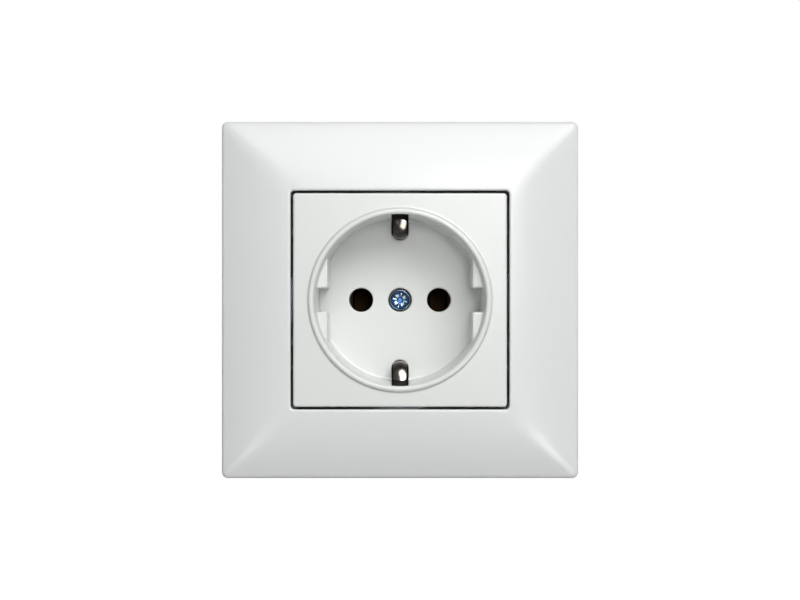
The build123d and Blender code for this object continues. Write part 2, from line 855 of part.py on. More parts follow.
# Claws: each rides on its screw, which rocks outwards in a saddle on the bridge
def make_claw():
    """The right claw, drawn with its outward direction along X."""
    half = claw_width / 2
    plate_back_level = claw_plate_depth + claw_thickness
    plate = block(
        (claw_radius - claw_inward, claw_outer_radius),
        (claw_plate_depth, plate_back_level),
        (-half, half),
    )
    cheek_outline = make_face(
        Polyline(
            (claw_cheek_radius, claw_cheek_depth),
            (claw_cheek_radius + claw_cheek_top, claw_cheek_depth),
            (claw_outer_radius - claw_cheek_inset, claw_plate_depth),
            (claw_outer_radius - claw_cheek_inset, plate_back_level),
            (claw_cheek_radius, plate_back_level),
            close=True,
        )
    )
    cheek = extrude(cheek_outline, amount=claw_thickness)
    claw = plate + Pos(0, 0, half - claw_thickness) * cheek + Pos(0, 0, -half) * cheek

    # Teeth along the outer edge, bent forward
    pitch = claw_width / 3
    for number in (-1, 0, 1):
        tooth = make_face(
            Polyline(
                (claw_outer_radius - claw_thickness, number * pitch - pitch / 2),
                (claw_outer_radius, number * pitch - pitch / 2),
                (claw_outer_radius, number * pitch + pitch / 2),
                (claw_outer_radius - claw_thickness, number * pitch + pitch / 2),
                close=True,
            )
        )
        tooth = Plane.XZ.offset(-claw_plate_depth - overlap) * tooth
        tip = Pos(claw_outer_radius - claw_tooth_point / 2, number * pitch)
        point = tip * Rectangle(claw_tooth_point, claw_tooth_point)
        point = Plane.XZ.offset(claw_tooth_height - claw_plate_depth) * point
        claw += loft([tooth.faces()[0], point.faces()[0]], ruled=True)
    collar_front = claw_plate_depth - claw_collar_length
    claw += rod(claw_collar_radius, collar_front, claw_plate_depth, claw_radius)
    bore = claw_screw_radius + thread_clearance
    return claw - rod(bore, collar_front - overlap, plate_back_level + overlap, claw_radius)


def make_claw_screw():
    back = claw_pivot_level - saddle_land
    screw = pan_head(claw_head_radius, claw_head_height, back)
    end = claw_plate_depth + claw_thickness + claw_screw_tail
    screw += rod(claw_screw_radius, back - overlap, end)
    tip = screw.edges().filter_by(GeomType.CIRCLE).sort_by(Axis.Y)[-1]
    screw = chamfer(tip, screw_point)
    screw -= cross_recess(claw_cross_size, claw_cross_depth, back - claw_head_height)
    return Pos(claw_radius, 0, 0) * screw


def make_claw_saddle():
    """A half-round seat that rocks on the two edges of its window in the bridge."""
    reach = saddle_length / 2
    radius = saddle_radius - thread_clearance / 2
    saddle = upright(radius, -reach, reach, claw_radius, claw_pivot_level)
    cut = claw_pivot_level - saddle_land
    half = saddle_radius + overlap
    saddle -= block(
        (claw_radius - half, claw_radius + half), (claw_pivot_level - half, cut), (-half, half)
    )
    bore = claw_screw_radius + thread_clearance
    return saddle - rod(bore, cut - overlap, claw_pivot_level + half, claw_radius)


def save(name, shape):
    """Writes one piece to its own file."""
    export_step(shape, f"parts/{name}.step")


os.makedirs("parts", exist_ok=True)
save("cover_frame", make_cover_frame())
save("cover_plate", make_cover_plate())
save("centre_screw", make_centre_screw())
save("screw_washer", make_screw_washer())
save("earth_strip", make_earth_strip())
save("earth_tab", make_earth_tab())
save("strip_screws", make_strip_screws())
save("support_bridge", make_support_bridge())
save("bridge_rivets", make_bridge_rivets())
save("base_body", make_base_body())
save("contact_cover", make_contact_cover())
for side, place in (("left", -side_terminal), ("earth", 0), ("right", side_terminal)):
    save(f"terminal_cage_{side}", make_terminal_cage(place))
    save(f"terminal_screw_{side}", make_terminal_screw(place))
paired = {
    "contact": make_contact(),
    "contact_spring": make_contact_spring(),
    "claw": place_claw(make_claw()),
    "claw_screw": place_claw(make_claw_screw()),
    "claw_saddle": place_claw(make_claw_saddle()),
}
for name, shape in paired.items():
    save(f"{name}_right", shape)
    save(f"{name}_left", mirror(shape, about=Plane.YZ))
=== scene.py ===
"""Looks of a flush wall socket: white mouldings in front, a steel bridge and a dark base behind.

The frame, the cover plate and the screws are made anew as smooth surfaces, and every other piece
is the CAD model's own, dressed in the finish of its material.

Lengths in the classes are millimetres, in the frame of the CAD model: X to the right, Y into the
wall and Z up, with the wall surface at y = 0. A mesh is turned to metres as it is made.
"""

import json
import logging
from dataclasses import dataclass
from enum import Enum
from math import acos, asin, atan, cos, degrees, pi, radians, sin, sqrt

import bmesh
import bpy
import numpy as np
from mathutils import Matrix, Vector
from mathutils.geometry import tessellate_polygon

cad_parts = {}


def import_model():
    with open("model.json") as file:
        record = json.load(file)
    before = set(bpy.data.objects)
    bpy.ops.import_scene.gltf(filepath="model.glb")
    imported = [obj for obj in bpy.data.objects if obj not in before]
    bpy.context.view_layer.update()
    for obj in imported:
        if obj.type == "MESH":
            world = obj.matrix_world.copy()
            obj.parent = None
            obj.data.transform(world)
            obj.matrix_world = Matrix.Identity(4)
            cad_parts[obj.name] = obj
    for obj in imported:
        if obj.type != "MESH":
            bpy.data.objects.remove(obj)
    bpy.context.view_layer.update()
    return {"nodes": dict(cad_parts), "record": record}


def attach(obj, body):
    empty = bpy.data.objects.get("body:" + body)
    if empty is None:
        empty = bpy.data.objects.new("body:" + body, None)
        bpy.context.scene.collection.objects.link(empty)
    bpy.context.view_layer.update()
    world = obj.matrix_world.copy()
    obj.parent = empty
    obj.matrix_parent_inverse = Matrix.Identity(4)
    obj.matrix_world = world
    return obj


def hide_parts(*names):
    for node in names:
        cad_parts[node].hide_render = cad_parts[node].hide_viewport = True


LOG = logging.getLogger("wall_socket")
# A millimetre, in metres
METRE = 0.001
# Points nearer than this are one, and shorter edges than the second are dropped, in metres
WELD, SLIVER = 1e-6, 1e-7
# Half the gap between the two columns at a sudden change of level, as a share of a side
JUMP = 1e-4
# Angles and lengths that differ by less than this are the same
SAME = 1e-6
# A loop this many radii inside a rounded edge keeps the shading of the flat face even
HOLD = 1.6


# ---- Mesh building ------------------------------------------------------------------------------


def turn(points: np.ndarray, degrees: float) -> np.ndarray:
    """Turns points about the Y axis, from +X towards +Z, by an angle in degrees.

    Args:
        points: array whose last axis is x, y, z.
        degrees: angle as seen from the front, counter-clockwise.

    Returns:
        A new array of the same shape.
    """
    a = radians(degrees)
    x, y, z = points[..., 0], points[..., 1], points[..., 2]
    return np.stack([x * cos(a) - z * sin(a), y, x * sin(a) + z * cos(a)], axis=-1)


def in_plane(outline: np.ndarray, y: float) -> np.ndarray:
    """Sets an (N, 2) outline of x and z at the level y, as (N, 3) points."""
    return np.column_stack([outline[:, 0], np.full(len(outline), float(y)), outline[:, 1]])


def turned(outline: np.ndarray, degrees: float) -> np.ndarray:
    """Turns an (N, 2) outline of x and z as turn() does."""
    return turn(in_plane(outline, 0.0), degrees)[:, [0, 2]]


def circle(radius: float, steps: int = 64, x: float = 0.0, z: float = 0.0) -> np.ndarray:
    """A circle's (N, 2) outline about (x, z)."""
    a = np.linspace(0, 2 * pi, steps, endpoint=False)
    return np.column_stack([x + radius * np.cos(a), z + radius * np.sin(a)])


def arc(
    centre: tuple[float, float], radius: float, start: float, end: float, steps: int
) -> np.ndarray:
    """Points centre + radius * (cos, sin) from the start to the end, in degrees."""
    a = np.radians(np.linspace(start, end, steps + 1))
    return np.column_stack([centre[0] + radius * np.cos(a), centre[1] + radius * np.sin(a)])


def square_loop(half: float, radius: float, shares: np.ndarray, steps: int = 6) -> np.ndarray:
    """Outline of a rounded square.

    Each side runs straight at the distance half over shares times (half - radius), and an arc of
    the stated radius turns it into the next one.

    Args:
        half: half its width.
        radius: radius of its corners.
        shares: places along a straight side, from -1 to 1.
        steps: stretches in each corner.

    Returns:
        (4 * (len(shares) + steps - 1), 2) points, counter-clockwise from the lower right.
    """
    straight = half - radius
    side = np.column_stack([np.full(len(shares), half), shares * straight])
    corner = arc((straight, straight), radius, 0, 90, steps)[1:-1]
    quarter = np.vstack([side, corner])
    turns = [quarter]
    for _ in range(3):
        last = turns[-1]
        turns.append(np.column_stack([-last[:, 1], last[:, 0]]))
    return np.vstack(turns)


def shares_with_jumps(columns: int, jump: float) -> np.ndarray:
    """Places along a side, from -1 to 1: evenly spread, with a pair at plus and minus the jump."""
    pair = np.array([jump - JUMP, jump + JUMP])
    return np.unique(np.concatenate([np.linspace(-1, 1, columns), pair, -pair]))


def falling(value: np.ndarray, end: float, width: float) -> np.ndarray:
    """A share that is 1 up to end - width and falls evenly to 0 at the end."""
    return np.clip((end - value) / width, 0, 1)


def inset(outline: np.ndarray, distance: float) -> np.ndarray:
    """Moves a closed, counter-clockwise outline inwards.

    Each point moves along the mean of its two edges' inward normals, lengthened so that both
    edges keep their distance. The lengthening has a limit, for points where the outline turns
    back sharply.

    Args:
        outline: (N, 2) points.
        distance: how far inwards, negative for outwards.

    Returns:
        (N, 2) points.
    """
    ahead = np.roll(outline, -1, 0) - outline
    ahead /= np.linalg.norm(ahead, axis=1)[:, None]
    behind = np.roll(ahead, 1, 0)
    normal = np.column_stack([-(ahead[:, 1] + behind[:, 1]), ahead[:, 0] + behind[:, 0]])
    shortest = 0.5
    length = np.maximum(np.linalg.norm(normal, axis=1), shortest)
    return outline + normal * (2 * distance / length**2)[:, None]


class Shell:
    """Collects patches of points and faces, in millimetres, and makes one mesh object of them."""

    def __init__(self) -> None:
        """Starts with no points and no faces."""
        self.points: list[np.ndarray] = []
        self.faces: list[tuple[int, ...]] = []
        self.count = 0

    def add(self, points: np.ndarray, faces: np.ndarray) -> None:
        """Adds points and the faces between them.

        Args:
            points: an array of points, whose last axis is x, y, z.
            faces: (M, 3 or 4) numbers of points, counted from nought.
        """
        self.points.append(points.reshape(-1, 3))
        self.faces.extend(map(tuple, (faces + self.count).tolist()))
        self.count += points.reshape(-1, 3).shape[0]

    def grid(
        self,
        points: np.ndarray,
        wrap_rows: bool = False,
        wrap_columns: bool = False,
        keep: np.ndarray | None = None,
    ) -> None:
        """Adds a surface given as a grid of points.

        Args:
            points: (rows, columns, 3) points.
            wrap_rows: joins the last row to the first.
            wrap_columns: joins the last column to the first.
            keep: which of the quads to make, or None for all.
        """
        rows, columns = points.shape[:2]
        index = np.arange(rows * columns).reshape(rows, columns)
        if wrap_rows:
            index = np.vstack([index, index[:1]])
        if wrap_columns:
            index = np.hstack([index, index[:, :1]])
        quads = np.stack(
            [index[:-1, :-1], index[:-1, 1:], index[1:, 1:], index[1:, :-1]], axis=-1
        )
        self.add(points, quads[keep] if keep is not None else quads.reshape(-1, 4))

    def flat(self, y: float, outline: np.ndarray, holes: list[np.ndarray] | None = None) -> None:
        """Adds a flat face at the level y, between an outline and any holes in it.

        Args:
            y: the level.
            outline: (N, 2) points of x and z.
            holes: outlines of the holes, or None.
        """
        loops = [in_plane(loop, y) for loop in [outline, *(holes or [])]]
        triangles = tessellate_polygon([[Vector(p) for p in loop] for loop in loops])
        self.add(np.vstack(loops), np.array([tuple(t) for t in triangles]))

    def carry(self, loops: list[np.ndarray], closed: bool = False) -> None:
        """Adds the surface through a row of closed loops of (N, 3) points."""
        self.grid(np.stack(loops), wrap_rows=closed, wrap_columns=True)

    def spin(self, profile: np.ndarray, steps: int = 96, x: float = 0.0, z: float = 0.0) -> None:
        """Adds a surface of revolution about Y.

        The point at the angle a of the profile's (r, y) is (x + r cos a, y, z + r sin a).

        Args:
            profile: (N, 2) points of radius and level.
            steps: stretches round the turn.
            x: place of the axis.
            z: place of the axis.
        """
        a = np.linspace(0, 2 * pi, steps, endpoint=False)
        r, y = profile[:, 0][:, None], profile[:, 1][:, None]
        level = np.broadcast_to(y, (len(profile), steps))
        self.grid(np.stack([x + r * np.cos(a), level, z + r * np.sin(a)], -1), wrap_columns=True)

    def prism(
        self, outline: np.ndarray, front: float, back: float, edge: float = 0.0, steps: int = 3
    ) -> None:
        """Adds a closed bar between two levels with its front edge rounded.

        Args:
            outline: (N, 2) counter-clockwise points of x and z.
            front: level of its front face.
            back: level of its back face.
            edge: radius of the rounding of the front edge.
            steps: stretches in the rounding.
        """
        loops = [in_plane(outline, back)]
        bends = arc((0.0, 0.0), edge, 0, 90, steps) if edge else np.array([[0.0, 0.0]])
        for across, out in bends:
            loops.append(in_plane(inset(outline, edge - across), front + edge - out))
        if edge:
            hold = inset(outline, HOLD * edge)
            loops.append(in_plane(hold, front))
            self.flat(front, hold)
        else:
            self.flat(front, outline)
        self.carry(loops)
        self.flat(back, outline)

    def build(self, name: str, angle: float = 40.0) -> bpy.types.Object:
        """Makes the mesh object, closes its seams and turns its faces outwards.

        Args:
            name: the object's name.
            angle: edges sharper than this, in degrees, stay sharp.

        Returns:
            The new object, at the origin.
        """
        mesh = bpy.data.meshes.new(name)
        mesh.from_pydata((np.vstack(self.points) * METRE).tolist(), [], self.faces)
        work = bmesh.new()
        work.from_mesh(mesh)
        bmesh.ops.remove_doubles(work, verts=work.verts, dist=WELD)
        bmesh.ops.dissolve_degenerate(work, edges=work.edges, dist=SLIVER)
        bmesh.ops.recalc_face_normals(work, faces=work.faces)
        work.to_mesh(mesh)
        work.free()
        mesh.shade_smooth()
        mesh.set_sharp_from_angle(angle=radians(angle))
        piece = bpy.data.objects.new(name, mesh)
        bpy.context.scene.collection.objects.link(piece)
        return piece


# ---- Finishes -----------------------------------------------------------------------------------


def colour(code: str) -> tuple[float, float, float, float]:
    """Turns an sRGB hex code into linear red, green, blue and alpha.

    Args:
        code: the hex code.

    Returns:
        The four values.
    """
    parts = [int(code[i : i + 2], 16) / 255 for i in (1, 3, 5)]
    linear = [p / 12.92 if p <= 0.04045 else ((p + 0.055) / 1.055) ** 2.4 for p in parts]
    return (*linear, 1.0)


def node(tree: bpy.types.NodeTree, kind: str, inputs: dict, **settings: object) -> bpy.types.Node:
    """Adds a node.

    Args:
        tree: the material's node tree.
        kind: the node's type name.
        inputs: socket name or number to a value, or to the socket that feeds it.
        settings: the node's own properties.

    Returns:
        The node.
    """
    made = tree.nodes.new(kind)
    for key, value in settings.items():
        setattr(made, key, value)
    for key, value in inputs.items():
        if isinstance(value, bpy.types.NodeSocket):
            tree.links.new(value, made.inputs[key])
        else:
            made.inputs[key].default_value = value
    return made


def start_material(name: str) -> tuple[bpy.types.Material, bpy.types.NodeTree, bpy.types.Node]:
    """Makes a material with an empty tree and its output node.

    Args:
        name: the material's name.

    Returns:
        The material, its tree and the output node.
    """
    material = bpy.data.materials.new(name)
    material.use_nodes = True
    tree = material.node_tree
    tree.nodes.clear()
    return material, tree, node(tree, "ShaderNodeOutputMaterial", {})


def per_metre(millimetres: float) -> float:
    """Scale of a noise whose features are about this many millimetres across."""
    return 1.0 / (millimetres * METRE)


def fade(
    tree: bpy.types.NodeTree,
    value: bpy.types.NodeSocket,
    limits: tuple[float, float],
    below: bpy.types.NodeSocket | tuple[float, ...],
    above: bpy.types.NodeSocket | tuple[float, ...],
) -> bpy.types.NodeSocket:
    """Turns one colour into another as a value grows.

    Args:
        tree: the material's node tree.
        value: the value.
        limits: where the change starts and ends.
        below: the colour up to the first limit.
        above: the colour from the second limit on.

    Returns:
        The socket of the joined colour.
    """
    span = {"Value": value, "From Min": limits[0], "From Max": limits[1]}
    share = node(tree, "ShaderNodeMapRange", span).outputs["Result"]
    both = {"Factor": share, "A": below, "B": above}
    return node(tree, "ShaderNodeMix", both, data_type="RGBA").outputs["Result"]


def paint_seam_shade(
    tree: bpy.types.NodeTree,
    tone: bpy.types.NodeSocket,
    width: float,
    limits: tuple[float, float],
    dark: str,
) -> bpy.types.NodeSocket:
    """Paints shade into a colour where other surfaces stand close before it.

    Args:
        tree: the material's node tree.
        tone: the clean colour.
        width: how far a surface looks for others, in millimetres.
        limits: shares of open space at which the colour is all dark and all clean.
        dark: hex code of the painted shade in a seam.

    Returns:
        The socket of the joined colour.
    """
    near = {"Color": (1, 1, 1, 1), "Distance": width * METRE}
    space = node(tree, "ShaderNodeAmbientOcclusion", near, samples=8).outputs["AO"]
    return fade(tree, space, limits, colour(dark), tone)


@dataclass(frozen=True)
class MouldedPlastic:
    """Injection-moulded thermoplastic: an even colour under a smooth skin with faint flow.

    Depths and sizes are millimetres. The peel is the waves of a polished tool, the grain that of
    a spark-eroded one, and the crevice how far painted shade reaches from a seam.
    """

    name: str
    tint: str
    shade: str
    roughness: float
    peel: float = 0.0
    peel_size: float = 2.5
    grain: float = 0.0
    grain_size: float = 0.25
    crevice: float = 0.0
    crevice_limits: tuple[float, float] = (0.18, 0.45)
    seam_shade_tone: str = "#0C0C0C"
    cloud_size: float = 20.0
    flow_size: float = 6.0
    flow_spread: float = 0.06
    ior: float = 1.5

    def make(self) -> bpy.types.Material:
        """Makes the material.

        Returns:
            The new material.
        """
        material, tree, out = start_material(self.name)
        place = node(tree, "ShaderNodeTexCoord", {}).outputs["Object"]
        # Pigment lies slightly uneven, in broad clouds
        broad = {"Scale": per_metre(self.cloud_size), "Detail": 3.0, "Roughness": 0.5}
        cloud = node(tree, "ShaderNodeTexNoise", {"Vector": place, **broad}).outputs["Fac"]
        tones = {"Factor": cloud, "A": colour(self.shade), "B": colour(self.tint)}
        tone = node(tree, "ShaderNodeMix", tones, data_type="RGBA").outputs["Result"]
        # Painted shade: the colour turns near-black where other surfaces stand close, in gaps and
        # creases
        if self.crevice:
            tone = paint_seam_shade(tree, tone, self.crevice, self.crevice_limits, self.seam_shade_tone)
        # The skin's gloss varies with the flow of the melt
        melt = {"Scale": per_metre(self.flow_size), "Detail": 2.0, "Roughness": 0.6}
        flow = node(tree, "ShaderNodeTexNoise", {"Vector": place, **melt}).outputs["Fac"]
        spread = self.roughness * self.flow_spread
        ends = {"To Min": self.roughness - spread, "To Max": self.roughness + spread}
        gloss = node(tree, "ShaderNodeMapRange", {"Value": flow, **ends}).outputs["Result"]
        # The tool's waves and grain, each a bump upon the one before
        relief = {}
        marks = ((self.peel, self.peel_size, 1.0), (self.grain, self.grain_size, 2.0))
        for depth, size, detail in marks:
            if depth:
                fine = {"Vector": place, "Scale": per_metre(size), "Detail": detail}
                height = node(tree, "ShaderNodeTexNoise", fine).outputs["Fac"]
                bump = {"Height": height, "Strength": 1.0, "Distance": depth * METRE, **relief}
                relief = {"Normal": node(tree, "ShaderNodeBump", bump).outputs["Normal"]}
        surface = {"Base Color": tone, "Roughness": gloss, "IOR": self.ior, **relief}
        skin = node(tree, "ShaderNodeBsdfPrincipled", surface)
        tree.links.new(skin.outputs["BSDF"], out.inputs["Surface"])
        return material


class Lay(Enum):
    """Direction of the fine lines that rolling, drawing or turning leaves on a metal."""

    NONE = (1.0, 1.0, 1.0)
    ALONG_X = (0.04, 1.0, 1.0)
    ALONG_Y = (1.0, 0.04, 1.0)
    ALONG_Z = (1.0, 1.0, 0.04)


@dataclass(frozen=True)
class SheetMetal:
    """Plated or bare metal: rolled or turned lines, a patchy film and worn places.

    Depths and sizes are millimetres. The rim is the radius of a screw's head at which a thin pale
    ring starts, with near-black beyond it, and the worn level is where the driver has rubbed
    its recess pale, but not its bottom. The crevice is how far shade reaches from a seam.
    """

    name: str
    tint: str
    shade: str
    roughness: float
    lay: Lay = Lay.NONE
    line_size: float = 0.25
    line_depth: float = 0.004
    film: str | None = None
    patch_size: float = 4.0
    film_range: tuple[float, float] = (0.4, 0.62)
    film_share: tuple[float, float] = (0.15, 0.75)
    gloss_share: tuple[float, float] = (0.75, 1.3)
    rim: float = 0.0
    rim_width: float = 0.1
    worn_level: float = 0.0
    worn_depth: float = 0.24
    blur: float = 0.04
    crevice: float = 0.0
    crevice_limits: tuple[float, float] = (0.1, 0.4)
    seam_shade_tone: str = "#101010"

    def rim_and_recess(
        self, tree: bpy.types.NodeTree, place: bpy.types.NodeSocket, shade: bpy.types.NodeSocket
    ) -> bpy.types.NodeSocket:
        """Adds a thin pale ring near the rim with near-black beyond it, and the rubbed recess, of a
        screw on the Y axis.

        Args:
            tree: the material's node tree.
            place: the place on the piece.
            shade: the colour of the unworn head.

        Returns:
            The socket of the joined colour.
        """
        flat = {0: place, 1: (1.0, 0.0, 1.0)}
        across = node(tree, "ShaderNodeVectorMath", flat, operation="MULTIPLY").outputs[0]
        reach = node(tree, "ShaderNodeVectorMath", {0: across}, operation="LENGTH").outputs["Value"]
        level = node(tree, "ShaderNodeSeparateXYZ", {0: place}).outputs["Y"]
        # A thin pale ring at the rim, near-black beyond it, then the rubbed pale flanks of the
        # recess and its blue bottom
        for value, start, tone in (
            (reach, self.rim, "#A3ABB2"),
            (reach, self.rim + self.rim_width, "#0E151D"),
            (level, self.worn_level, "#C4D0DA"),
            (level, self.worn_level + self.worn_depth, "#4C76A4"),
        ):
            limits = (start * METRE, (start + self.blur) * METRE)
            shade = fade(tree, value, limits, shade, colour(tone))
        return shade

    def make(self) -> bpy.types.Material:
        """Makes the material.

        Returns:
            The new material.
        """
        material, tree, out = start_material(self.name)
        place = node(tree, "ShaderNodeTexCoord", {}).outputs["Object"]
        # The lines: a noise drawn out along the lay
        along = {"Vector": place, "Scale": self.lay.value}
        drawn = node(tree, "ShaderNodeMapping", along).outputs["Vector"]
        fine = {"Vector": drawn, "Scale": per_metre(self.line_size), "Detail": 3.0}
        lines = node(tree, "ShaderNodeTexNoise", fine).outputs["Fac"]
        # Plating crystals and finger marks lie in patches
        spots = {"Scale": per_metre(self.patch_size), "Detail": 4.0, "Roughness": 0.6}
        patches = node(tree, "ShaderNodeTexNoise", {"Vector": place, **spots}).outputs["Fac"]
        tones = {"Factor": patches, "A": colour(self.shade), "B": colour(self.tint)}
        shade = node(tree, "ShaderNodeMix", tones, data_type="RGBA").outputs["Result"]
        if self.film:
            # A passivation film is thicker here and thinner there
            span = dict(zip(("From Min", "From Max"), self.film_range))
            ends = dict(zip(("To Min", "To Max"), self.film_share))
            share = node(tree, "ShaderNodeMapRange", {"Value": patches, **span, **ends})
            both = {"Factor": share.outputs["Result"], "A": shade, "B": colour(self.film)}
            shade = node(tree, "ShaderNodeMix", both, data_type="RGBA").outputs["Result"]
        if self.rim:
            shade = self.rim_and_recess(tree, place, shade)
        # Painted shade: the metal turns near-black where other surfaces stand close
        if self.crevice:
            shade = paint_seam_shade(tree, shade, self.crevice, self.crevice_limits, self.seam_shade_tone)
        polished, rough = (self.roughness * share for share in self.gloss_share)
        limits = {"Value": patches, "To Min": polished, "To Max": rough}
        gloss = node(tree, "ShaderNodeMapRange", limits).outputs["Result"]
        relief = {"Height": lines, "Strength": 1.0, "Distance": self.line_depth * METRE}
        bump = node(tree, "ShaderNodeBump", relief).outputs["Normal"]
        surface = {"Base Color": shade, "Metallic": 1.0, "Roughness": gloss, "Normal": bump}
        metal = node(tree, "ShaderNodeBsdfPrincipled", surface)
        tree.links.new(metal.outputs["BSDF"], out.inputs["Surface"])
        return material


@dataclass(frozen=True)
class Finishes:
    """The finishes of this socket, by the record's material slot."""

    frame_white: MouldedPlastic = MouldedPlastic(
        "polished white ABS of the frame", "#E3E5E4", "#E0E2E1", 0.3, peel=0.003, crevice=1.3
    )
    plate_white: MouldedPlastic = MouldedPlastic(
        "polished white ABS of the cover plate", "#E1E3E0", "#DEE0DD", 0.3, peel=0.003, crevice=1.3
    )
    base_grey: MouldedPlastic = MouldedPlastic(
        "glass-filled dark grey polyamide", "#3B3D3F", "#303234", 0.48, grain=0.01
    )
    cover_black: MouldedPlastic = MouldedPlastic(
        "near-black polyamide", "#1D1E20", "#17181A", 0.5, grain=0.008
    )
    # The fibre's own dark red, painted darker still as shade in the gap round the centre screw
    fibre_red: MouldedPlastic = MouldedPlastic(
        "dark red vulcanised fibre", "#3A1C16", "#2E1713", 0.8, grain=0.02, grain_size=0.2
    )
    blue_zinc: SheetMetal = SheetMetal(
        "blue-passivated zinc on steel",
        "#22384F",
        "#1A2D42",
        0.13,
        patch_size=2.0,
        rim=2.33,
        worn_level=7.76,
    )
    bright_zinc: SheetMetal = SheetMetal(
        "bright zinc on turned steel", "#D5DADF", "#B9BFC6", 0.27, Lay.NONE, 0.15, 0.003, "#AEBED2"
    )
    # The bridge gets painted shade where it shows through the gap round the cover plate
    bridge_zinc: SheetMetal = SheetMetal(
        "zinc on rolled steel sheet",
        "#C9CDD1",
        "#AEB3B8",
        0.34,
        Lay.ALONG_X,
        0.3,
        0.006,
        "#B8C3CF",
        7.0,
        crevice=12.0,
    )
    claw_zinc: SheetMetal = SheetMetal(
        "zinc on pressed steel", "#C6CACE", "#A3A9AF", 0.36, Lay.ALONG_Z, 0.2, 0.006, "#AEBBCB", 3.0
    )
    # Painted reflection: the bronze is far darker than real bronze, so the clips' unlit sides show
    # dark
    bronze: SheetMetal = SheetMetal(
        "spring bronze darkened as painted reflection", "#524F4A", "#282622", 0.23, Lay.ALONG_Z, 0.2, 0.001, None, 1.6
    )
    # Painted shade: the contacts' brass is nearly black, so the deep pin holes read dark
    brass: SheetMetal = SheetMetal(
        "rolled brass darkened as painted shade", "#33271A", "#251C12", 0.6, Lay.ALONG_Y, 0.2, 0.003, None, 4.0
    )
    rivet_brass: SheetMetal = SheetMetal(
        "headed brass of the rivets", "#A98A50", "#86693A", 0.32, Lay.NONE, 0.2, 0.002, None, 1.5
    )
    spring_steel: SheetMetal = SheetMetal(
        "tempered spring steel", "#8C8E92", "#6E7176", 0.3, Lay.ALONG_Y, 0.2, 0.003, None, 4.0
    )

    def by_slot(self) -> dict[str, MouldedPlastic | SheetMetal]:
        """Returns the finish of each material slot in the record."""
        return {
            "cover_frame": self.frame_white,
            "cover_plate": self.plate_white,
            "base_polyamide": self.base_grey,
            "contact_cover_polyamide": self.cover_black,
            "washer_fibre": self.fibre_red,
            "blue_zinc_steel": self.blue_zinc,
            "zinc_screw_steel": self.bright_zinc,
            "bridge_steel": self.bridge_zinc,
            "terminal_steel": self.bridge_zinc,
            "claw_steel": self.claw_zinc,
            "earth_bronze": self.bronze,
            "contact_brass": self.brass,
            "rivet_brass": self.rivet_brass,
            "spring_steel": self.spring_steel,
        }


# ---- Cover frame --------------------------------------------------------------------------------


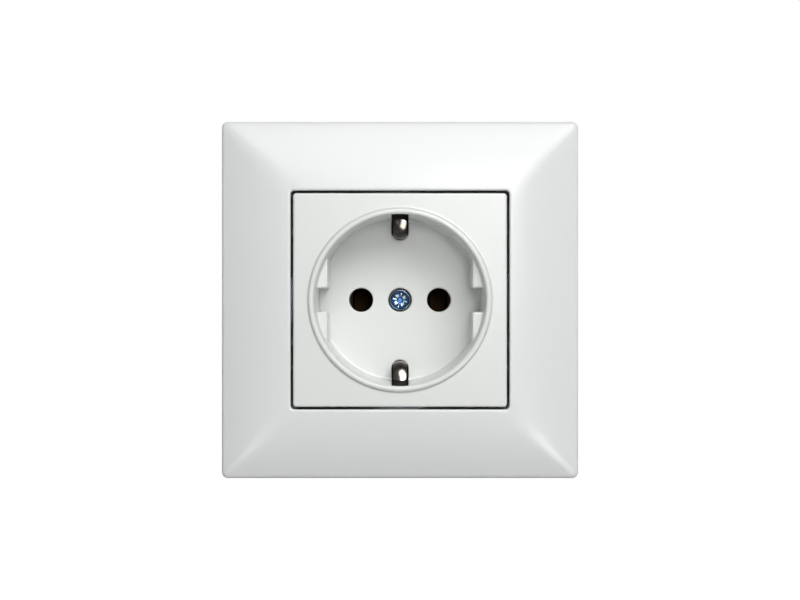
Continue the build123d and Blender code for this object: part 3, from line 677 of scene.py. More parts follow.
@dataclass
class CoverFrame:
    """The square frame: curved faces that meet in soft mitres round the cover plate."""

    slot: str = "cover_frame"
    half: float = 42.0
    corner: float = 1.4
    edge_height: float = 6.2
    face_height: float = 9.6
    power: float = 2.0
    wall: float = 1.8
    edge_round: float = 1.0
    opening: float = 25.55
    opening_corner: float = 0.9
    opening_round: float = 0.4
    collar_wall: float = 1.4
    collar_rear: float = -1.0
    mitre: float = 4.2
    window_half: float = 6.0
    window_rear: float = -7.0
    ledge_start: float = 15.5
    ledge_width: float = 1.5
    ledge_front: float = -2.2
    rib: float = 1.0
    rib_place: float = 17.0
    rib_rear: float = -1.2
    rib_sink: float = 0.3
    foot: float = 0.2
    side_start: float = -2.0
    side_columns: int = 53
    face_rows: int = 34
    hollow_rows: int = 20
    rib_rows: int = 12
    edge_rows: int = 7
    opening_rows: int = 6
    sharp: float = 35.0

    def level(self, x: np.ndarray, z: np.ndarray, inside: bool = False) -> np.ndarray:
        """Level of the face over each point (x, z).

        The face is a stack of rounded squares. The one at the share s has the half width
        lerp(inner, outer, s), the corner radius lerp(mitre, corner, s) and the height
        face_height - (face_height - edge_height) * s ** power. The share of the square that
        runs through the point is found by halving an interval.

        Args:
            x: places across.
            z: places up.
            inside: True for the hollow side of the face.

        Returns:
            Levels y, the negative of the heights.
        """
        drop = self.wall if inside else 0.0
        outer, inner = self.half - drop, self.opening - self.collar_wall
        widest, halvings = 1.2, 30
        low, high = np.zeros_like(x), np.full_like(x, widest)
        for _ in range(halvings):
            share = (low + high) / 2
            size = inner + (outer - inner) * share
            radius = self.mitre + (self.corner - self.mitre) * share
            dx = np.abs(x) - (size - radius)
            dz = np.abs(z) - (size - radius)
            beyond = np.hypot(np.maximum(dx, 0), np.maximum(dz, 0))
            distance = beyond + np.minimum(np.maximum(dx, dz), 0) - radius
            low = np.where(distance > 0, share, low)
            high = np.where(distance > 0, high, share)
        rise = self.face_height - self.edge_height
        return -(self.face_height - drop) + rise * ((low + high) / 2) ** self.power

    def ring(self, half: float, radius: float) -> np.ndarray:
        """An outline round the frame, with a pair of columns at each edge of a collar window."""
        edge = self.window_half / (self.opening - self.opening_corner)
        return square_loop(half, radius, shares_with_jumps(self.side_columns, edge))

    def on_face(self, outline: np.ndarray, inside: bool = False, drop: float = 0.0) -> np.ndarray:
        """Lays an outline on the face, or the stated distance behind it."""
        y = self.level(outline[:, 0], outline[:, 1], inside) + drop
        return np.column_stack([outline[:, 0], y, outline[:, 1]])

    def body(self) -> bpy.types.Object:
        """Makes the frame with its collar, ledges and ribs.

        Returns:
            The new object.
        """
        shell = Shell()
        rise = self.face_height - self.edge_height
        reach = self.half - self.opening + self.collar_wall
        fall = rise * self.power / reach
        slope = atan(fall)
        r = self.edge_round
        start = self.half - r + r * sin(slope)
        middle = -self.edge_height - (self.half - start) * fall + r * cos(slope)
        loops = [
            in_plane(self.ring(self.half - self.foot, self.corner), 0),
            in_plane(self.ring(self.half, self.corner), -self.foot),
            in_plane(self.ring(self.half, self.corner), self.side_start),
        ]
        for bend in np.linspace(0, pi / 2 - slope, self.edge_rows):
            out = self.half - r + r * cos(bend)
            loops.append(in_plane(self.ring(out, self.corner), middle - r * sin(bend)))
        # The face, in loops that change from the outer outline to the opening's
        last = self.opening + self.opening_round
        for share in np.linspace(1, 0, self.face_rows)[1:]:
            size = last + (start - last) * share
            radius = self.opening_corner + self.opening_round
            loops.append(self.on_face(self.ring(size, radius + (self.corner - radius) * share)))
        # The opening's rounded edge and the collar, whose rear edge rises at the windows
        for bend in np.linspace(0, pi / 2, self.opening_rows)[1:]:
            back = self.opening_round * (1 - cos(bend))
            size = last - self.opening_round * sin(bend)
            corner = self.opening_corner + size - self.opening
            loops.append(self.on_face(self.ring(size, corner), drop=back))
        inner = self.ring(self.opening, self.opening_corner)
        outer = self.ring(self.opening + self.collar_wall, self.opening_corner + self.collar_wall)
        rear = np.where(
            np.minimum(np.abs(inner[:, 0]), np.abs(inner[:, 1])) < self.window_half,
            self.window_rear,
            self.collar_rear,
        )
        loops.append(np.column_stack([inner[:, 0], rear, inner[:, 1]]))
        loops.append(np.column_stack([outer[:, 0], rear, outer[:, 1]]))
        first = self.opening + self.collar_wall
        far = self.half - self.wall
        for share in np.linspace(0, 1, self.hollow_rows):
            size = first + (far - first) * share
            radius = self.opening_corner + self.collar_wall
            radius += (self.corner - radius) * share
            loops.append(self.on_face(self.ring(size, radius), inside=True))
        loops.append(in_plane(self.ring(far, self.corner), 0))
        shell.carry(loops, closed=True)
        self.ledges(shell)
        self.ribs(shell)
        return shell.build("frame_moulding", self.sharp)

    def ledges(self, shell: Shell) -> None:
        """Adds the four corner ledges that the cover plate lies on.

        Args:
            shell: the surfaces of the moulding.
        """
        near, far = self.opening - self.ledge_width, self.opening + self.collar_wall / 2
        s = self.ledge_start
        corner = np.array([[s, near], [near, near], [near, s], [far, s], [far, far], [s, far]])
        for quarter in range(4):
            shell.prism(turned(corner, 90 * quarter), self.ledge_front, self.collar_rear)

    def ribs(self, shell: Shell) -> None:
        """Adds two ribs behind each of the four faces.

        Args:
            shell: the surfaces of the moulding.
        """
        for place in (-self.rib_place, self.rib_place):
            low, high = self.opening + self.collar_wall / 2, self.half - self.wall / 2
            across = place + np.array([-self.rib, self.rib]) / 2
            along = np.linspace(low, high, self.rib_rows)
            x, z = np.meshgrid(across, along, indexing="ij")
            top = self.level(x, z, inside=True) - self.rib_sink
            for quarter in range(4):
                rear, front = (
                    turn(np.stack([x, y, z], -1), 90 * quarter)
                    for y in (np.full_like(x, self.rib_rear), top)
                )
                ring = np.stack([rear[0], front[0], front[1], rear[1]])
                shell.grid(ring, wrap_rows=True)
                for end in (0, -1):
                    shell.add(ring[:, end], np.array([[0, 1, 2, 3]]))

    def make(self) -> bpy.types.Object:
        """Makes the frame, in place of the CAD node.

        Returns:
            The new object.
        """
        piece = self.body()
        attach(piece, "housing")
        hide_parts("cover_frame")
        return piece


# ---- Cover plate --------------------------------------------------------------------------------


@dataclass
class CoverPlate:
    """The square plate with its round plug recess, moulded in one piece."""

    slot: str = "cover_plate"
    half: float = 24.95
    corner: float = 0.8
    front: float = -9.5
    back: float = -7.5
    edge: float = 0.4
    skirt_wall: float = 1.3
    skirt_rear: float = -5.5
    leg_rear: float = -2.2
    leg_start: float = 16.5
    bead_front: float = -10.2
    bead_outer: float = 21.5
    bead_outer_round: float = 0.6
    bead_inner_round: float = 0.55
    mouth: float = 20.2
    lead_in_end: float = -7.8
    crease: float = 0.25
    radius: float = 19.7
    cup_outer: float = 21.0
    floor: float = 7.3
    floor_back: float = 9.3
    floor_round: float = 0.4
    chord: float = 17.0
    guide_front: float = -7.3
    guide_round: float = 0.35
    channel_half: float = 2.8
    slot_half: float = 2.05
    slot_end: float = 14.6
    slot_front: float = -9.6
    pin_place: float = 9.5
    pin_radius: float = 2.92
    pin_collar: float = 4.22
    collar_back: float = 12.4
    screw_radius: float = 2.89
    screw_seat: float = 10.1
    screw_hole: float = 1.7
    boss: float = 4.5
    boss_back: float = 11.6
    lip: float = 0.22
    rib: float = 1.2
    rib_rear: float = -3.4
    rib_sink: float = 0.1
    rib_root: float = 0.6
    bead_foot: float = 0.6
    hold: float = 0.3
    hole_hold: float = 0.15
    floor_hold: float = 0.2
    lip_hold: float = 0.05
    cup_inset: float = 0.01
    guide_root: float = 1.0
    guide_sink: float = 0.2
    guide_corner: float = 0.5
    side_columns: int = 9
    columns: int = 120
    hole_columns: int = 48
    wall_levels: tuple[float, float] = (-6.0, 5.0)
    wall_rows: int = 7
    sharp: float = 35.0

    def plate(self, shell: Shell) -> None:
        """Adds the square plate with its rounded edge, its skirt and the corner legs.

        Args:
            shell: the surfaces of the moulding.
        """
        edge = self.leg_start / (self.half - self.corner)
        shares = shares_with_jumps(self.side_columns, edge)
        loop = square_loop(self.half, self.corner, shares)
        inside = self.half - self.skirt_wall
        inner = square_loop(inside, self.corner, shares)
        leg = np.minimum(np.abs(loop[:, 0]), np.abs(loop[:, 1])) > self.leg_start
        rear = np.where(leg, self.leg_rear, self.skirt_rear)
        hold = square_loop(inside - self.hold, self.corner, shares)
        loops = [
            in_plane(hold, self.back),
            in_plane(inner, self.back),
            np.column_stack([inner[:, 0], rear, inner[:, 1]]),
            np.column_stack([loop[:, 0], rear, loop[:, 1]]),
        ]
        for across, out in arc((0, 0), self.edge, 0, 90, 6):
            size = self.half - self.edge + across
            ring = square_loop(size, self.corner - self.edge + across, shares)
            loops.append(in_plane(ring, self.front + self.edge - out))
        size = self.half - self.edge - self.hold
        face = square_loop(size, self.corner - self.edge, shares)
        loops.append(in_plane(face, self.front))
        shell.carry(loops)
        bead = circle(self.bead_outer + self.bead_foot, self.columns)
        shell.flat(self.front, face, [bead])
        shell.flat(self.back, hold, [circle(self.cup_outer, self.columns)])

    def angles(self) -> np.ndarray:
        """Angles of the cup's columns, with one at each edge of the two slots.

        Returns:
            The angles in radians, from nought up.
        """
        even = np.linspace(0, 2 * pi, self.columns, endpoint=False)
        edge = asin(self.slot_half / self.radius)
        marks = [pi / 2 - edge, pi / 2 + edge, 3 * pi / 2 - edge, 3 * pi / 2 + edge]
        # An even column that stands closer than this to a mark, in radians, gives way to it
        closest = 0.012
        near = np.min(np.abs(even[:, None] - np.array(marks)[None]), axis=1)
        return np.sort(np.concatenate([even[near > closest], marks]))

    def around(self, profile: np.ndarray, angles: np.ndarray) -> np.ndarray:
        """Carries a profile of (r, y) round the axis.

        A column's angle is arccos(x / r) at the edge of a slot, so that the slot's edges stay
        parallel, and the same at every radius elsewhere.

        Args:
            profile: (N, 2) points of radius and level.
            angles: the columns' angles in radians.

        Returns:
            (N, columns, 3) points.
        """
        r, y = profile[:, 0][:, None], profile[:, 1][:, None]
        across = self.radius * np.cos(angles)
        beside = np.abs(np.abs(across) - self.slot_half) < SAME
        a = np.broadcast_to(angles, (len(profile), len(angles))).copy()
        exact = np.arccos(np.clip(across / r, -1, 1))
        a[:, beside] = np.where(np.sin(angles) > 0, exact, -exact)[:, beside]
        level = np.broadcast_to(y, a.shape)
        return np.stack([r * np.cos(a), level, r * np.sin(a)], -1)

    def wall_radius(self, y: float) -> float:
        """Radius of the recess at the level y: its mouth narrows evenly to lead the plug in."""
        share = (y - self.bead_front) / (self.lead_in_end - self.bead_front)
        return self.mouth + (self.radius - self.mouth) * min(share, 1.0)

    def floor_edge(self) -> float:
        """Radius at which the flat of the recess floor ends."""
        return self.radius - self.floor_round - self.floor_hold

    def cup(self, shell: Shell) -> None:
        """Adds the rim bead, the cup's wall inside and out and the reveals of the slots.

        Args:
            shell: the surfaces of the moulding.
        """
        angles = self.angles()
        ro, ri = self.bead_outer_round, self.bead_inner_round
        c = self.crease
        top = self.bead_front
        bead = np.vstack(
            [
                [[self.bead_outer + self.bead_foot, self.front]],
                arc((self.bead_outer + c, self.front - c), c, 90, 180, 3),
                arc((self.bead_outer - ro, top + ro), ro, 0, -90, 5),
                arc((self.wall_radius(top + ri) + ri, top + ri), ri, -90, -180, 5),
            ]
        )
        shell.grid(self.around(bead, angles), wrap_columns=True)
        fr = self.floor_round
        rows = self.wall_rows
        wall = np.vstack(
            [
                [[self.wall_radius(top + ri), top + ri]],
                [[self.wall_radius(self.slot_front), self.slot_front]],
                [[self.radius, self.lead_in_end]],
                np.column_stack([np.full(rows, self.radius), np.linspace(*self.wall_levels, rows)]),
                arc((self.radius - fr, self.floor - fr), fr, 0, 90, 4),
                [[self.floor_edge(), self.floor]],
            ]
        )
        middle = (angles + np.roll(angles, -1)) / 2
        open_column = np.abs(np.cos(middle)) * self.radius < self.slot_half
        keep = np.ones((len(wall) - 1, len(angles)), bool)
        keep[1:, open_column] = False
        shell.grid(self.around(wall, angles), wrap_columns=True, keep=keep)
        outside = np.array([[self.cup_outer, y] for y in (self.back, 0.0, self.floor_back)])
        keep = np.ones((len(outside) - 1, len(angles)), bool)
        keep[:, open_column] = False
        shell.grid(self.around(outside, angles), wrap_columns=True, keep=keep)
        self.reveals(shell, angles)

    def reveals(self, shell: Shell, angles: np.ndarray) -> None:
        """Adds the flat walls of the two slots, from the recess out to the cup's outer face.

        Args:
            shell: the surfaces of the moulding.
            angles: the angles of the cup's columns.
        """
        h = self.slot_half
        far = sqrt(self.cup_outer**2 - h * h)
        end = self.slot_end + h
        levels = (self.slot_front, self.lead_in_end, self.floor_back)
        near = [sqrt(self.wall_radius(y) ** 2 - h * h) for y in levels]
        deep = self.floor + self.lip
        for up, middle in ((-1, 1.5 * pi), (1, 0.5 * pi)):
            for side in (-h, h):
                strip = [[[side, y, up * z], [side, y, up * far]] for y, z in zip(levels, near)]
                shell.grid(np.array(strip))
                foot = [(deep, end), (deep, near[1]), (self.floor_back, near[1])]
                foot = [[side, y, up * z] for y, z in (*foot, (self.floor_back, end))]
                shell.add(np.array(foot), np.array([[0, 1, 2, 3]]))
            # The roof follows the lip, and a wall closes the pocket inside the plate
            inside = angles[np.abs(angles - middle) < asin(h / self.radius) + SAME]
            front = np.array([[self.wall_radius(self.slot_front), self.slot_front]])
            lip = self.around(front, inside)[0]
            beyond = np.column_stack([lip[:, 0], lip[:, 1], np.full(len(lip), up * far)])
            behind = beyond + np.array([0.0, self.back - self.slot_front, 0.0])
            shell.grid(np.stack([lip, beyond, behind]))

    def slot_outline(self, grow: float = 0.0) -> np.ndarray:
        """Inner end of the upper slot: points from its right side round to its left side."""
        h = self.slot_half + grow
        return arc((0, self.slot_end + self.slot_half), h, 0, -180, 16)

    def floor_outline(self, radius: float, grow: float) -> np.ndarray:
        """Outline of the floor: a circle that turns in along the two slots.

        Args:
            radius: the circle's radius.
            grow: how much wider than the slots the turns are, on each side.

        Returns:
            (N, 2) points; the left half is the right half turned round.
        """
        # The circle's own columns stay this far, in radians, from where it turns in
        apart = 1e-3
        edge = asin((self.slot_half + grow) / radius)
        angles = self.angles()
        right = np.sort(np.where(angles > pi, angles - 2 * pi, angles))
        widest = max(edge, asin(self.slot_half / self.radius))
        right = right[(right > edge - pi / 2 + apart) & (right < pi / 2 - widest - apart)]
        side = np.concatenate([[edge - pi / 2], right, [pi / 2 - edge]])
        points = np.column_stack([radius * np.cos(side), radius * np.sin(side)])
        half = np.vstack([points, self.slot_outline(grow)])
        return np.vstack([half, -half])

    def floor_face(self, shell: Shell) -> None:
        """Adds the recess floor with its holes, their rounded lips and the bosses behind.

        Args:
            shell: the surfaces of the moulding.
        """
        pin = (self.pin_radius, self.collar_back, self.pin_collar)
        screw = (self.screw_radius, self.screw_seat, self.boss)
        wells = {-self.pin_place: pin, 0.0: screw, self.pin_place: pin}
        steps = self.hole_columns
        holes = []
        for x, (r, end, _) in wells.items():
            wide = r + self.lip + self.hole_hold
            holes.append(circle(wide, steps, x))
            bends = self.lip - arc((0, 0), self.lip, 90, 0, 4)
            lip = bends + np.array([r, self.floor])
            shell.spin(np.vstack([[[wide, self.floor]], lip, [[r, end]]]), steps, x)
        outline = self.floor_outline(self.floor_edge(), self.lip + self.lip_hold)
        shell.flat(self.floor, outline, holes)
        self.slot_lips(shell)
        # Behind the floor
        holes = [circle(outer, steps, x) for x, (_, _, outer) in wells.items()]
        outline = self.floor_outline(self.cup_outer - self.cup_inset, 0.0)
        shell.flat(self.floor_back, outline, holes)
        for x in (-self.pin_place, self.pin_place):
            tube = [[self.pin_collar, self.floor_back], [self.pin_collar, self.collar_back]]
            shell.spin(np.array([*tube, [self.pin_radius, self.collar_back]]), steps, x)
        boss = [
            [self.boss, self.floor_back],
            [self.boss, self.boss_back],
            [self.screw_hole, self.boss_back],
            [self.screw_hole, self.screw_seat],
            [self.screw_radius, self.screw_seat],
        ]
        shell.spin(np.array(boss), steps)

    def slot_lips(self, shell: Shell) -> None:
        """Adds the rounded lip round the inner end of each slot and its wall down.

        Args:
            shell: the surfaces of the moulding.
        """
        loops = []
        # Shares of the lip by which its lines stand outside the slot and below the floor
        bends = ((1.0, 0.0), (0.7, 0.08), (0.3, 0.3), (0.0, 1.0))
        grows = [self.lip + self.lip_hold, *(self.lip * out for out, _ in bends)]
        for grow, deep in zip(grows, (0.0, *(deep for _, deep in bends))):
            h = self.slot_half + grow
            reach = sqrt(self.floor_edge() ** 2 - h * h)
            line = np.vstack([[[h, reach]], self.slot_outline(grow), [[-h, reach]]])
            loops.append(in_plane(line, self.floor + deep * self.lip))
        last = loops[-1].copy()
        last[:, 1] = self.floor_back
        loops.append(last)
        sheet = np.stack(loops)
        # The lower slot is the upper one turned round
        shell.grid(sheet)
        shell.grid(sheet * np.array([-1, 1, -1]))

    def guides(self, shell: Shell) -> None:
        """Adds the four guide segments, two on each side of the recess.

        Args:
            shell: the surfaces of the moulding.
        """
        # The outer side lies inside the cup's wall, so that no seam shows between them
        r = self.radius + self.guide_root
        h = self.channel_half
        low, high = degrees(asin(h / r)), degrees(acos(self.chord / r))
        wall = arc((0, 0), r, low, high, 8)
        c = self.guide_corner
        inner = arc((self.chord + c, h + c), c, 180, 270, 5)
        outline = np.vstack([wall, inner])
        rear = self.floor + self.guide_sink
        for side in (1, -1):
            for up in (1, -1):
                mirrored = outline * np.array([side, up])
                # One mirroring turns the outline's order round
                segment = mirrored[:: side * up]
                shell.prism(segment, self.guide_front, rear, self.guide_round, 4)

    def ribs(self, shell: Shell) -> None:
        """Adds the diagonal ribs behind the plate.

        Args:
            shell: the surfaces of the moulding.
        """
        w = self.rib / 2
        near = self.cup_outer - self.rib_root
        far = (self.half - self.skirt_wall) * sqrt(2) - self.corner
        bar = np.array([[near, -w], [far, -w], [far, w], [near, w]])
        for quarter in range(4):
            shell.prism(turned(bar, 45 + 90 * quarter), self.back - self.rib_sink, self.rib_rear)

    def make(self) -> bpy.types.Object:
        """Makes the plate, in place of the CAD node.

        Returns:
            The new object.
        """
        shell = Shell()
        self.plate(shell)
        self.cup(shell)
        self.floor_face(shell)
        self.guides(shell)
        self.ribs(shell)
        piece = shell.build("plate_moulding", self.sharp)
        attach(piece, "housing")
        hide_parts("cover_plate")
        return piece


# ---- Screws -------------------------------------------------------------------------------------


class Drive(Enum):
    """The recess in a screw's head."""

    CROSS = "tapered cross"
    RAYED_CROSS = "tapered cross with four short rays between its arms"
    SLOT = "slot right across"


@dataclass
class Screw:
    """A machine screw with a rolled thread; lengths run from the head's seat towards the tip.

    The dish hollows the head's face inside its rim. A cross recess has arms of the share ramp of
    the depth, which rise towards their ends at the reach, and a deeper core where they meet. The
    web is the least that stays between the recess and the seat. The thread's depth is a share of
    its pitch, and the point's bevel ends in a shallow hollow.
    """

    node: str
    slot: str
    seat: float
    length: float
    radius: float
    head_radius: float
    head_height: float
    drive: Drive = Drive.CROSS
    reach: float = 1.55
    depth: float = 1.2
    turned: float = 0.0
    place: tuple[float, float] = (0.0, 0.0)
    upright: bool = False
    edge: float = 0.3
    ramp: float = 0.7
    dish: float = 0.0
    dish_rim: float = 0.06
    dish_slope: float = 0.12
    slot_half: float = 0.45
    slot_slope: float = 0.05
    arm_half: float = 0.42
    arm_slope: float = 0.12
    core: float = 0.5
    core_foot: float = 0.55
    core_slope: float = 0.35
    ray_half: float = 0.16
    ray_reach: float = 1.9
    ray_slope: float = 0.5
    ray_depth: float = 0.1
    web: float = 0.3
    point: float = 0.4
    point_hollow: float = 0.15
    pitch: float = 0.5
    thread_depth: float = 0.3
    thread_start: float = 0.4
    thread_fade: float = 0.5
    columns: int = 96
    face_rows: int = 34
    side_rows: int = 5
    side_share: float = 0.6
    turn_rows: int = 6
    sharp: float = 32.0

    def recess(self, r: np.ndarray, a: np.ndarray) -> np.ndarray:
        """Depth of the recess below the head's face.

        An arm is full depth on its middle line; its end rises evenly and its sides are steep.
        Where the arms meet, the recess drops further, and a ray is a shallow V.

        Args:
            r: distances from the axis.
            a: angles about it, in radians.

        Returns:
            Depths, nought outside the recess.
        """
        u, v = r * np.cos(a - radians(self.turned)), r * np.sin(a - radians(self.turned))
        if self.drive is Drive.SLOT:
            return self.depth * falling(np.abs(u), self.slot_half, self.slot_slope)
        deep = np.zeros_like(r)
        for along, across in ((u, v), (v, u)):
            end = falling(np.abs(along), self.reach, self.reach / 2)
            arm = end * falling(np.abs(across), self.arm_half, self.arm_slope)
            deep = np.maximum(deep, self.ramp * arm)
        bottom = falling(r, self.core_foot * self.reach, self.core_slope)
        core = np.where(r < self.core * self.reach, self.ramp + (1 - self.ramp) * bottom, 0)
        deep = np.maximum(deep, core)
        if self.drive is Drive.RAYED_CROSS:
            for along, across in ((u + v, u - v), (u - v, u + v)):
                end = falling(np.abs(along) / sqrt(2), self.ray_reach, self.ray_slope)
                ray = end * falling(np.abs(across) / sqrt(2), self.ray_half, self.ray_half)
                deep = np.maximum(deep, self.ray_depth * ray)
        return self.depth * deep

    def head(self) -> np.ndarray:
        """Works out the head: a turned profile, dished and cut by the recess.

        Returns:
            Points (rows, columns, 3) of distance from the axis, angle and level.
        """
        flat = self.head_radius - self.edge
        across = np.linspace(0, flat, self.face_rows)
        sunk = self.dish * falling(across, flat - self.dish_rim, self.dish_slope)
        faces = np.column_stack([across, sunk - self.head_height])
        bend = arc((flat, self.edge - self.head_height), self.edge, -90, 0, 6)[1:]
        levels = np.linspace(-self.side_share, 0, self.side_rows) * (self.head_height - self.edge)
        side = np.column_stack([np.full(self.side_rows, self.head_radius), levels])
        under = np.array([[(self.head_radius + self.radius) / 2, 0.0]])
        profile = np.vstack([faces, bend, side, under])
        a = np.linspace(0, 2 * pi, self.columns, endpoint=False)
        r, a = np.meshgrid(profile[:, 0], a, indexing="ij")
        level = np.broadcast_to(profile[:, 1][:, None], r.shape)
        cut = self.recess(r, a)
        floor = np.minimum(cut + self.dish - self.head_height, -self.web)
        level = np.where(cut > 0, np.maximum(level, floor), level)
        return np.stack([r, a, level], -1)

    def shank(self) -> np.ndarray:
        """Works out the threaded shank.

        The thread's height is a blunted triangle wave of the level less the turn's share of a
        pitch; it fades in under the head, and the point's bevel cuts it off.

        Returns:
            Points as those of head().
        """
        levels = np.arange(0, self.length - SAME, self.pitch / self.turn_rows)
        a = np.linspace(0, 2 * pi, self.columns, endpoint=False)
        level, a = np.meshgrid(levels, a, indexing="ij")
        phase = (level / self.pitch - a / (2 * pi)) % 1.0
        blunt, root = 1.6, 0.3
        ridge = np.clip(blunt * (1 - np.abs(2 * phase - 1)) - root, 0, 1)
        fade = np.clip((level - self.thread_start) / self.thread_fade, 0, 1)
        r = self.radius - self.thread_depth * self.pitch * (1 - ridge * fade)
        tip = self.radius - self.point
        r = np.minimum(r, tip + (self.length - level))
        last = np.full_like(a[:1], self.length)
        rim = np.stack([np.full_like(last, tip - self.point_hollow), a[:1], last], -1)
        end = np.stack([np.zeros_like(last), a[:1], last], -1)
        return np.concatenate([np.stack([r, a, level], -1), rim, end])

    def make(self) -> bpy.types.Object:
        """Makes the screw, in place of its CAD node and on the same body.

        Returns:
            The new object.
        """
        rows = np.concatenate([self.head(), self.shank()])
        r, a, level = rows[..., 0], rows[..., 1], rows[..., 2]
        x, other = self.place[0] + r * np.cos(a), self.place[1] + r * np.sin(a)
        if self.upright:
            points = np.stack([x, other, self.seat - level], -1)
        else:
            points = np.stack([x, self.seat + level, other], -1)
        shell = Shell()
        shell.grid(points, wrap_columns=True)
        piece = shell.build(f"{self.node}_threaded", self.sharp)
        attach(piece, self.node)
        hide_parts(self.node)
        return piece


def screws() -> list[Screw]:
    """Returns every screw of the socket; each one's node and body have the same name."""
    made = [
        Screw(
            node="centre_screw",
            slot="blue_zinc_steel",
            seat=9.6,
            length=7.2,
            radius=1.5,
            head_radius=2.5,
            head_height=2.0,
            drive=Drive.RAYED_CROSS,
            turned=31,
            edge=0.2,
            dish=0.15,
            ramp=0.22,
        )
    ]
    for name, side in (("left", -1), ("right", 1)):
        made.append(
            Screw(
                node=f"claw_screw_{name}",
                slot="zinc_screw_steel",
                seat=-3.139,
                length=27.039,
                radius=1.5,
                head_radius=2.5,
                head_height=1.7,
                reach=1.45,
                depth=1.0,
                turned=20 * side,
                place=(21.919 * side, -11.168),
                edge=0.5,
            )
        )
    for name, x, angle in (("left", -14.95, -8), ("earth", 0.0, -8), ("right", 14.95, 7)):
        made.append(
            Screw(
                node=f"terminal_screw_{name}",
                slot="zinc_screw_steel",
                seat=20.6,
                length=9.4,
                radius=1.75,
                head_radius=2.7,
                head_height=1.8,
                drive=Drive.SLOT,
                depth=1.0,
                turned=angle,
                place=(x, 25.0),
                upright=True,
                edge=0.4,
            )
        )
    return made


# ---- Studio -------------------------------------------------------------------------------------


@dataclass(frozen=True)
class Lamp:
    """A soft rectangular lamp that faces the socket: metres and watts.

    One that is sheen only is a card that shows as a reflection and lights nothing else.
    """

    name: str
    place: tuple[float, float, float]
    size: tuple[float, float]
    power: float
    sheen_only: bool = False

    def make(self) -> bpy.types.Object:
        """Adds the lamp.

        Returns:
            The lamp's object.
        """
        data = bpy.data.lights.new(self.name, "AREA")
        data.shape = "RECTANGLE"
        data.size, data.size_y = self.size
        data.energy = self.power
        lamp = bpy.data.objects.new(self.name, data)
        lamp.location = self.place
        lamp.rotation_euler = (-Vector(self.place)).to_track_quat("-Z", "Y").to_euler()
        lamp.visible_diffuse = not self.sheen_only
        lamp.visible_camera = False
        bpy.context.scene.collection.objects.link(lamp)
        return lamp


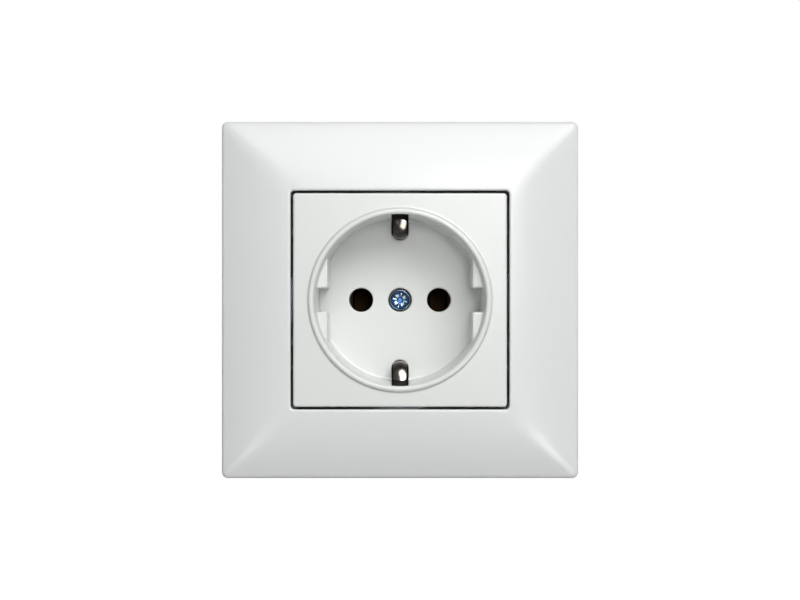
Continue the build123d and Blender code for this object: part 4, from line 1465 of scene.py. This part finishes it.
@dataclass
class Studio:
    """Pale floor, soft lights and the camera of the photograph; distances are millimetres."""

    lens: float = 70.4
    sensor: float = 36.0
    camera_distance: float = 374.5
    floor_level: float = -200.0
    floor_reach: float = 4000.0
    soft_light: float = 0.17
    paper_glow: float = 1.22
    glow_share: float = 0.8
    lamps: tuple[Lamp, ...] = (
        Lamp("top_softbox", (0.3, -1.0, 0.74), (1.0, 0.7), 13.9),
        Lamp("front_card", (0.13, -1.2, 0.24), (0.2, 0.4), 5.5, True),
        Lamp("low_right_card", (0.16, -0.36, -0.15), (0.09, 0.09), 0.3, True),
        Lamp("low_left_card", (-0.16, -0.36, -0.15), (0.09, 0.09), 0.13, True),
    )
    metal_cards: tuple[Lamp, ...] = (
        Lamp("metal_card_high", (0.68, -0.8, 0.72), (1.5, 1.7), 330.0, True),
        Lamp("metal_card_low", (0.15, -0.11, -0.12), (0.32, 0.24), 6.0, True),
    )

    def camera(self) -> None:
        """Sets the camera straight in front of the recess."""
        data = bpy.data.cameras.new("camera")
        data.lens = self.lens
        data.sensor_width = self.sensor
        data.clip_start, data.clip_end = 0.01, 50.0
        camera = bpy.data.objects.new("camera", data)
        camera.location = (0.0, -self.camera_distance * METRE, 0.0)
        camera.rotation_euler = (pi / 2, 0.0, 0.0)
        bpy.context.scene.collection.objects.link(camera)
        bpy.context.scene.camera = camera

    def light_metal(self, pieces: list[bpy.types.Object]) -> None:
        """Adds the wide cards at the right that show only in the given metal pieces.

        Args:
            pieces: the objects that reflect them.
        """
        group = bpy.data.collections.new("metal_card_group")
        for piece in pieces:
            group.objects.link(piece)
        for card in self.metal_cards:
            card.make().light_linking.receiver_collection = group

    def world(self) -> None:
        """Adds a pale surround that lights softly and shows white to the camera."""
        world = bpy.data.worlds.new("studio")
        bpy.context.scene.world = world
        world.use_nodes = True
        tree = world.node_tree
        tree.nodes.clear()
        path = node(tree, "ShaderNodeLightPath", {})
        seen = path.outputs["Is Camera Ray"]
        for ray in ("Is Glossy Ray", "Is Transmission Ray"):
            both = {0: seen, 1: path.outputs[ray]}
            seen = node(tree, "ShaderNodeMath", both, operation="MAXIMUM").outputs[0]
        pale = {"Color": colour("#F6F7F7"), "Strength": self.soft_light}
        soft = node(tree, "ShaderNodeBackground", pale).outputs[0]
        white = node(tree, "ShaderNodeBackground", {"Color": (1, 1, 1, 1), "Strength": 1.0})
        mix = node(tree, "ShaderNodeMixShader", {0: seen, 1: soft, 2: white.outputs[0]})
        out = node(tree, "ShaderNodeOutputWorld", {})
        tree.links.new(mix.outputs[0], out.inputs["Surface"])

    def floor(self) -> None:
        """Adds a wide pale floor below, nearly white to the camera."""
        shell = Shell()
        places = np.linspace(-self.floor_reach, self.floor_reach, 9)
        x, y = np.meshgrid(places, places, indexing="ij")
        shell.grid(np.stack([x, y, np.full_like(x, self.floor_level)], -1))
        floor = shell.build("studio_floor")
        material, tree, out = start_material("matt white paper")
        place = node(tree, "ShaderNodeTexCoord", {}).outputs["Object"]
        # Long fibres leave the tone slightly uneven, over about 60 mm
        fine = {"Vector": place, "Scale": per_metre(60), "Detail": 2.0}
        fibre = node(tree, "ShaderNodeTexNoise", fine).outputs["Fac"]
        tones = {"Factor": fibre, "A": colour("#D2D2D2"), "B": colour("#D8D8D8")}
        tone = node(tree, "ShaderNodeMix", tones, data_type="RGBA").outputs["Result"]
        matt = {"Base Color": tone, "Roughness": 0.9}
        paper = node(tree, "ShaderNodeBsdfPrincipled", matt).outputs["BSDF"]
        light = {"Color": (1, 1, 1, 1), "Strength": self.paper_glow}
        glow = node(tree, "ShaderNodeEmission", light).outputs[0]
        path = node(tree, "ShaderNodeLightPath", {})
        both = {0: path.outputs["Is Camera Ray"], 1: self.glow_share}
        share = node(tree, "ShaderNodeMath", both, operation="MULTIPLY").outputs[0]
        mix = node(tree, "ShaderNodeMixShader", {0: share, 1: paper, 2: glow})
        tree.links.new(mix.outputs[0], out.inputs["Surface"])
        floor.data.materials.append(material)

    def make(self) -> None:
        """Sets up the studio, apart from the cards for the metal."""
        bpy.context.scene.view_settings.view_transform = "Standard"
        self.camera()
        self.world()
        self.floor()
        for lamp in self.lamps:
            lamp.make()


# ---- Putting it together ------------------------------------------------------------------------


def dress_nodes(frame: dict, finishes: dict[str, MouldedPlastic | SheetMetal]) -> dict:
    """Gives every CAD node the finish of its slot.

    Args:
        finishes: the finish of each slot.

    Returns:
        The material of each slot.
    """
    made = {slot: finish.make() for slot, finish in finishes.items()}
    slots = {s["node"]: s["material_slot"] for s in frame["record"]["subparts"]}
    for name, piece in frame["nodes"].items():
        material = made[slots[name]]
        if piece.data.materials:
            for index in range(len(piece.data.materials)):
                piece.data.materials[index] = material
        else:
            piece.data.materials.append(material)
    return made


def main() -> None:
    """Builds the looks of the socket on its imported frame."""
    logging.basicConfig(level=logging.INFO, format="%(name)s: %(message)s")
    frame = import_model()
    materials = dress_nodes(frame, Finishes().by_slot())
    for maker in (CoverFrame(), CoverPlate(), *screws()):
        piece = maker.make()
        piece.data.materials.append(materials[maker.slot])
        LOG.info("%s: %d faces", piece.name, len(piece.data.polygons))
    studio = Studio()
    studio.make()
    studio.light_metal([frame["nodes"]["earth_strip"]])


if __name__ == "__main__":
    main()
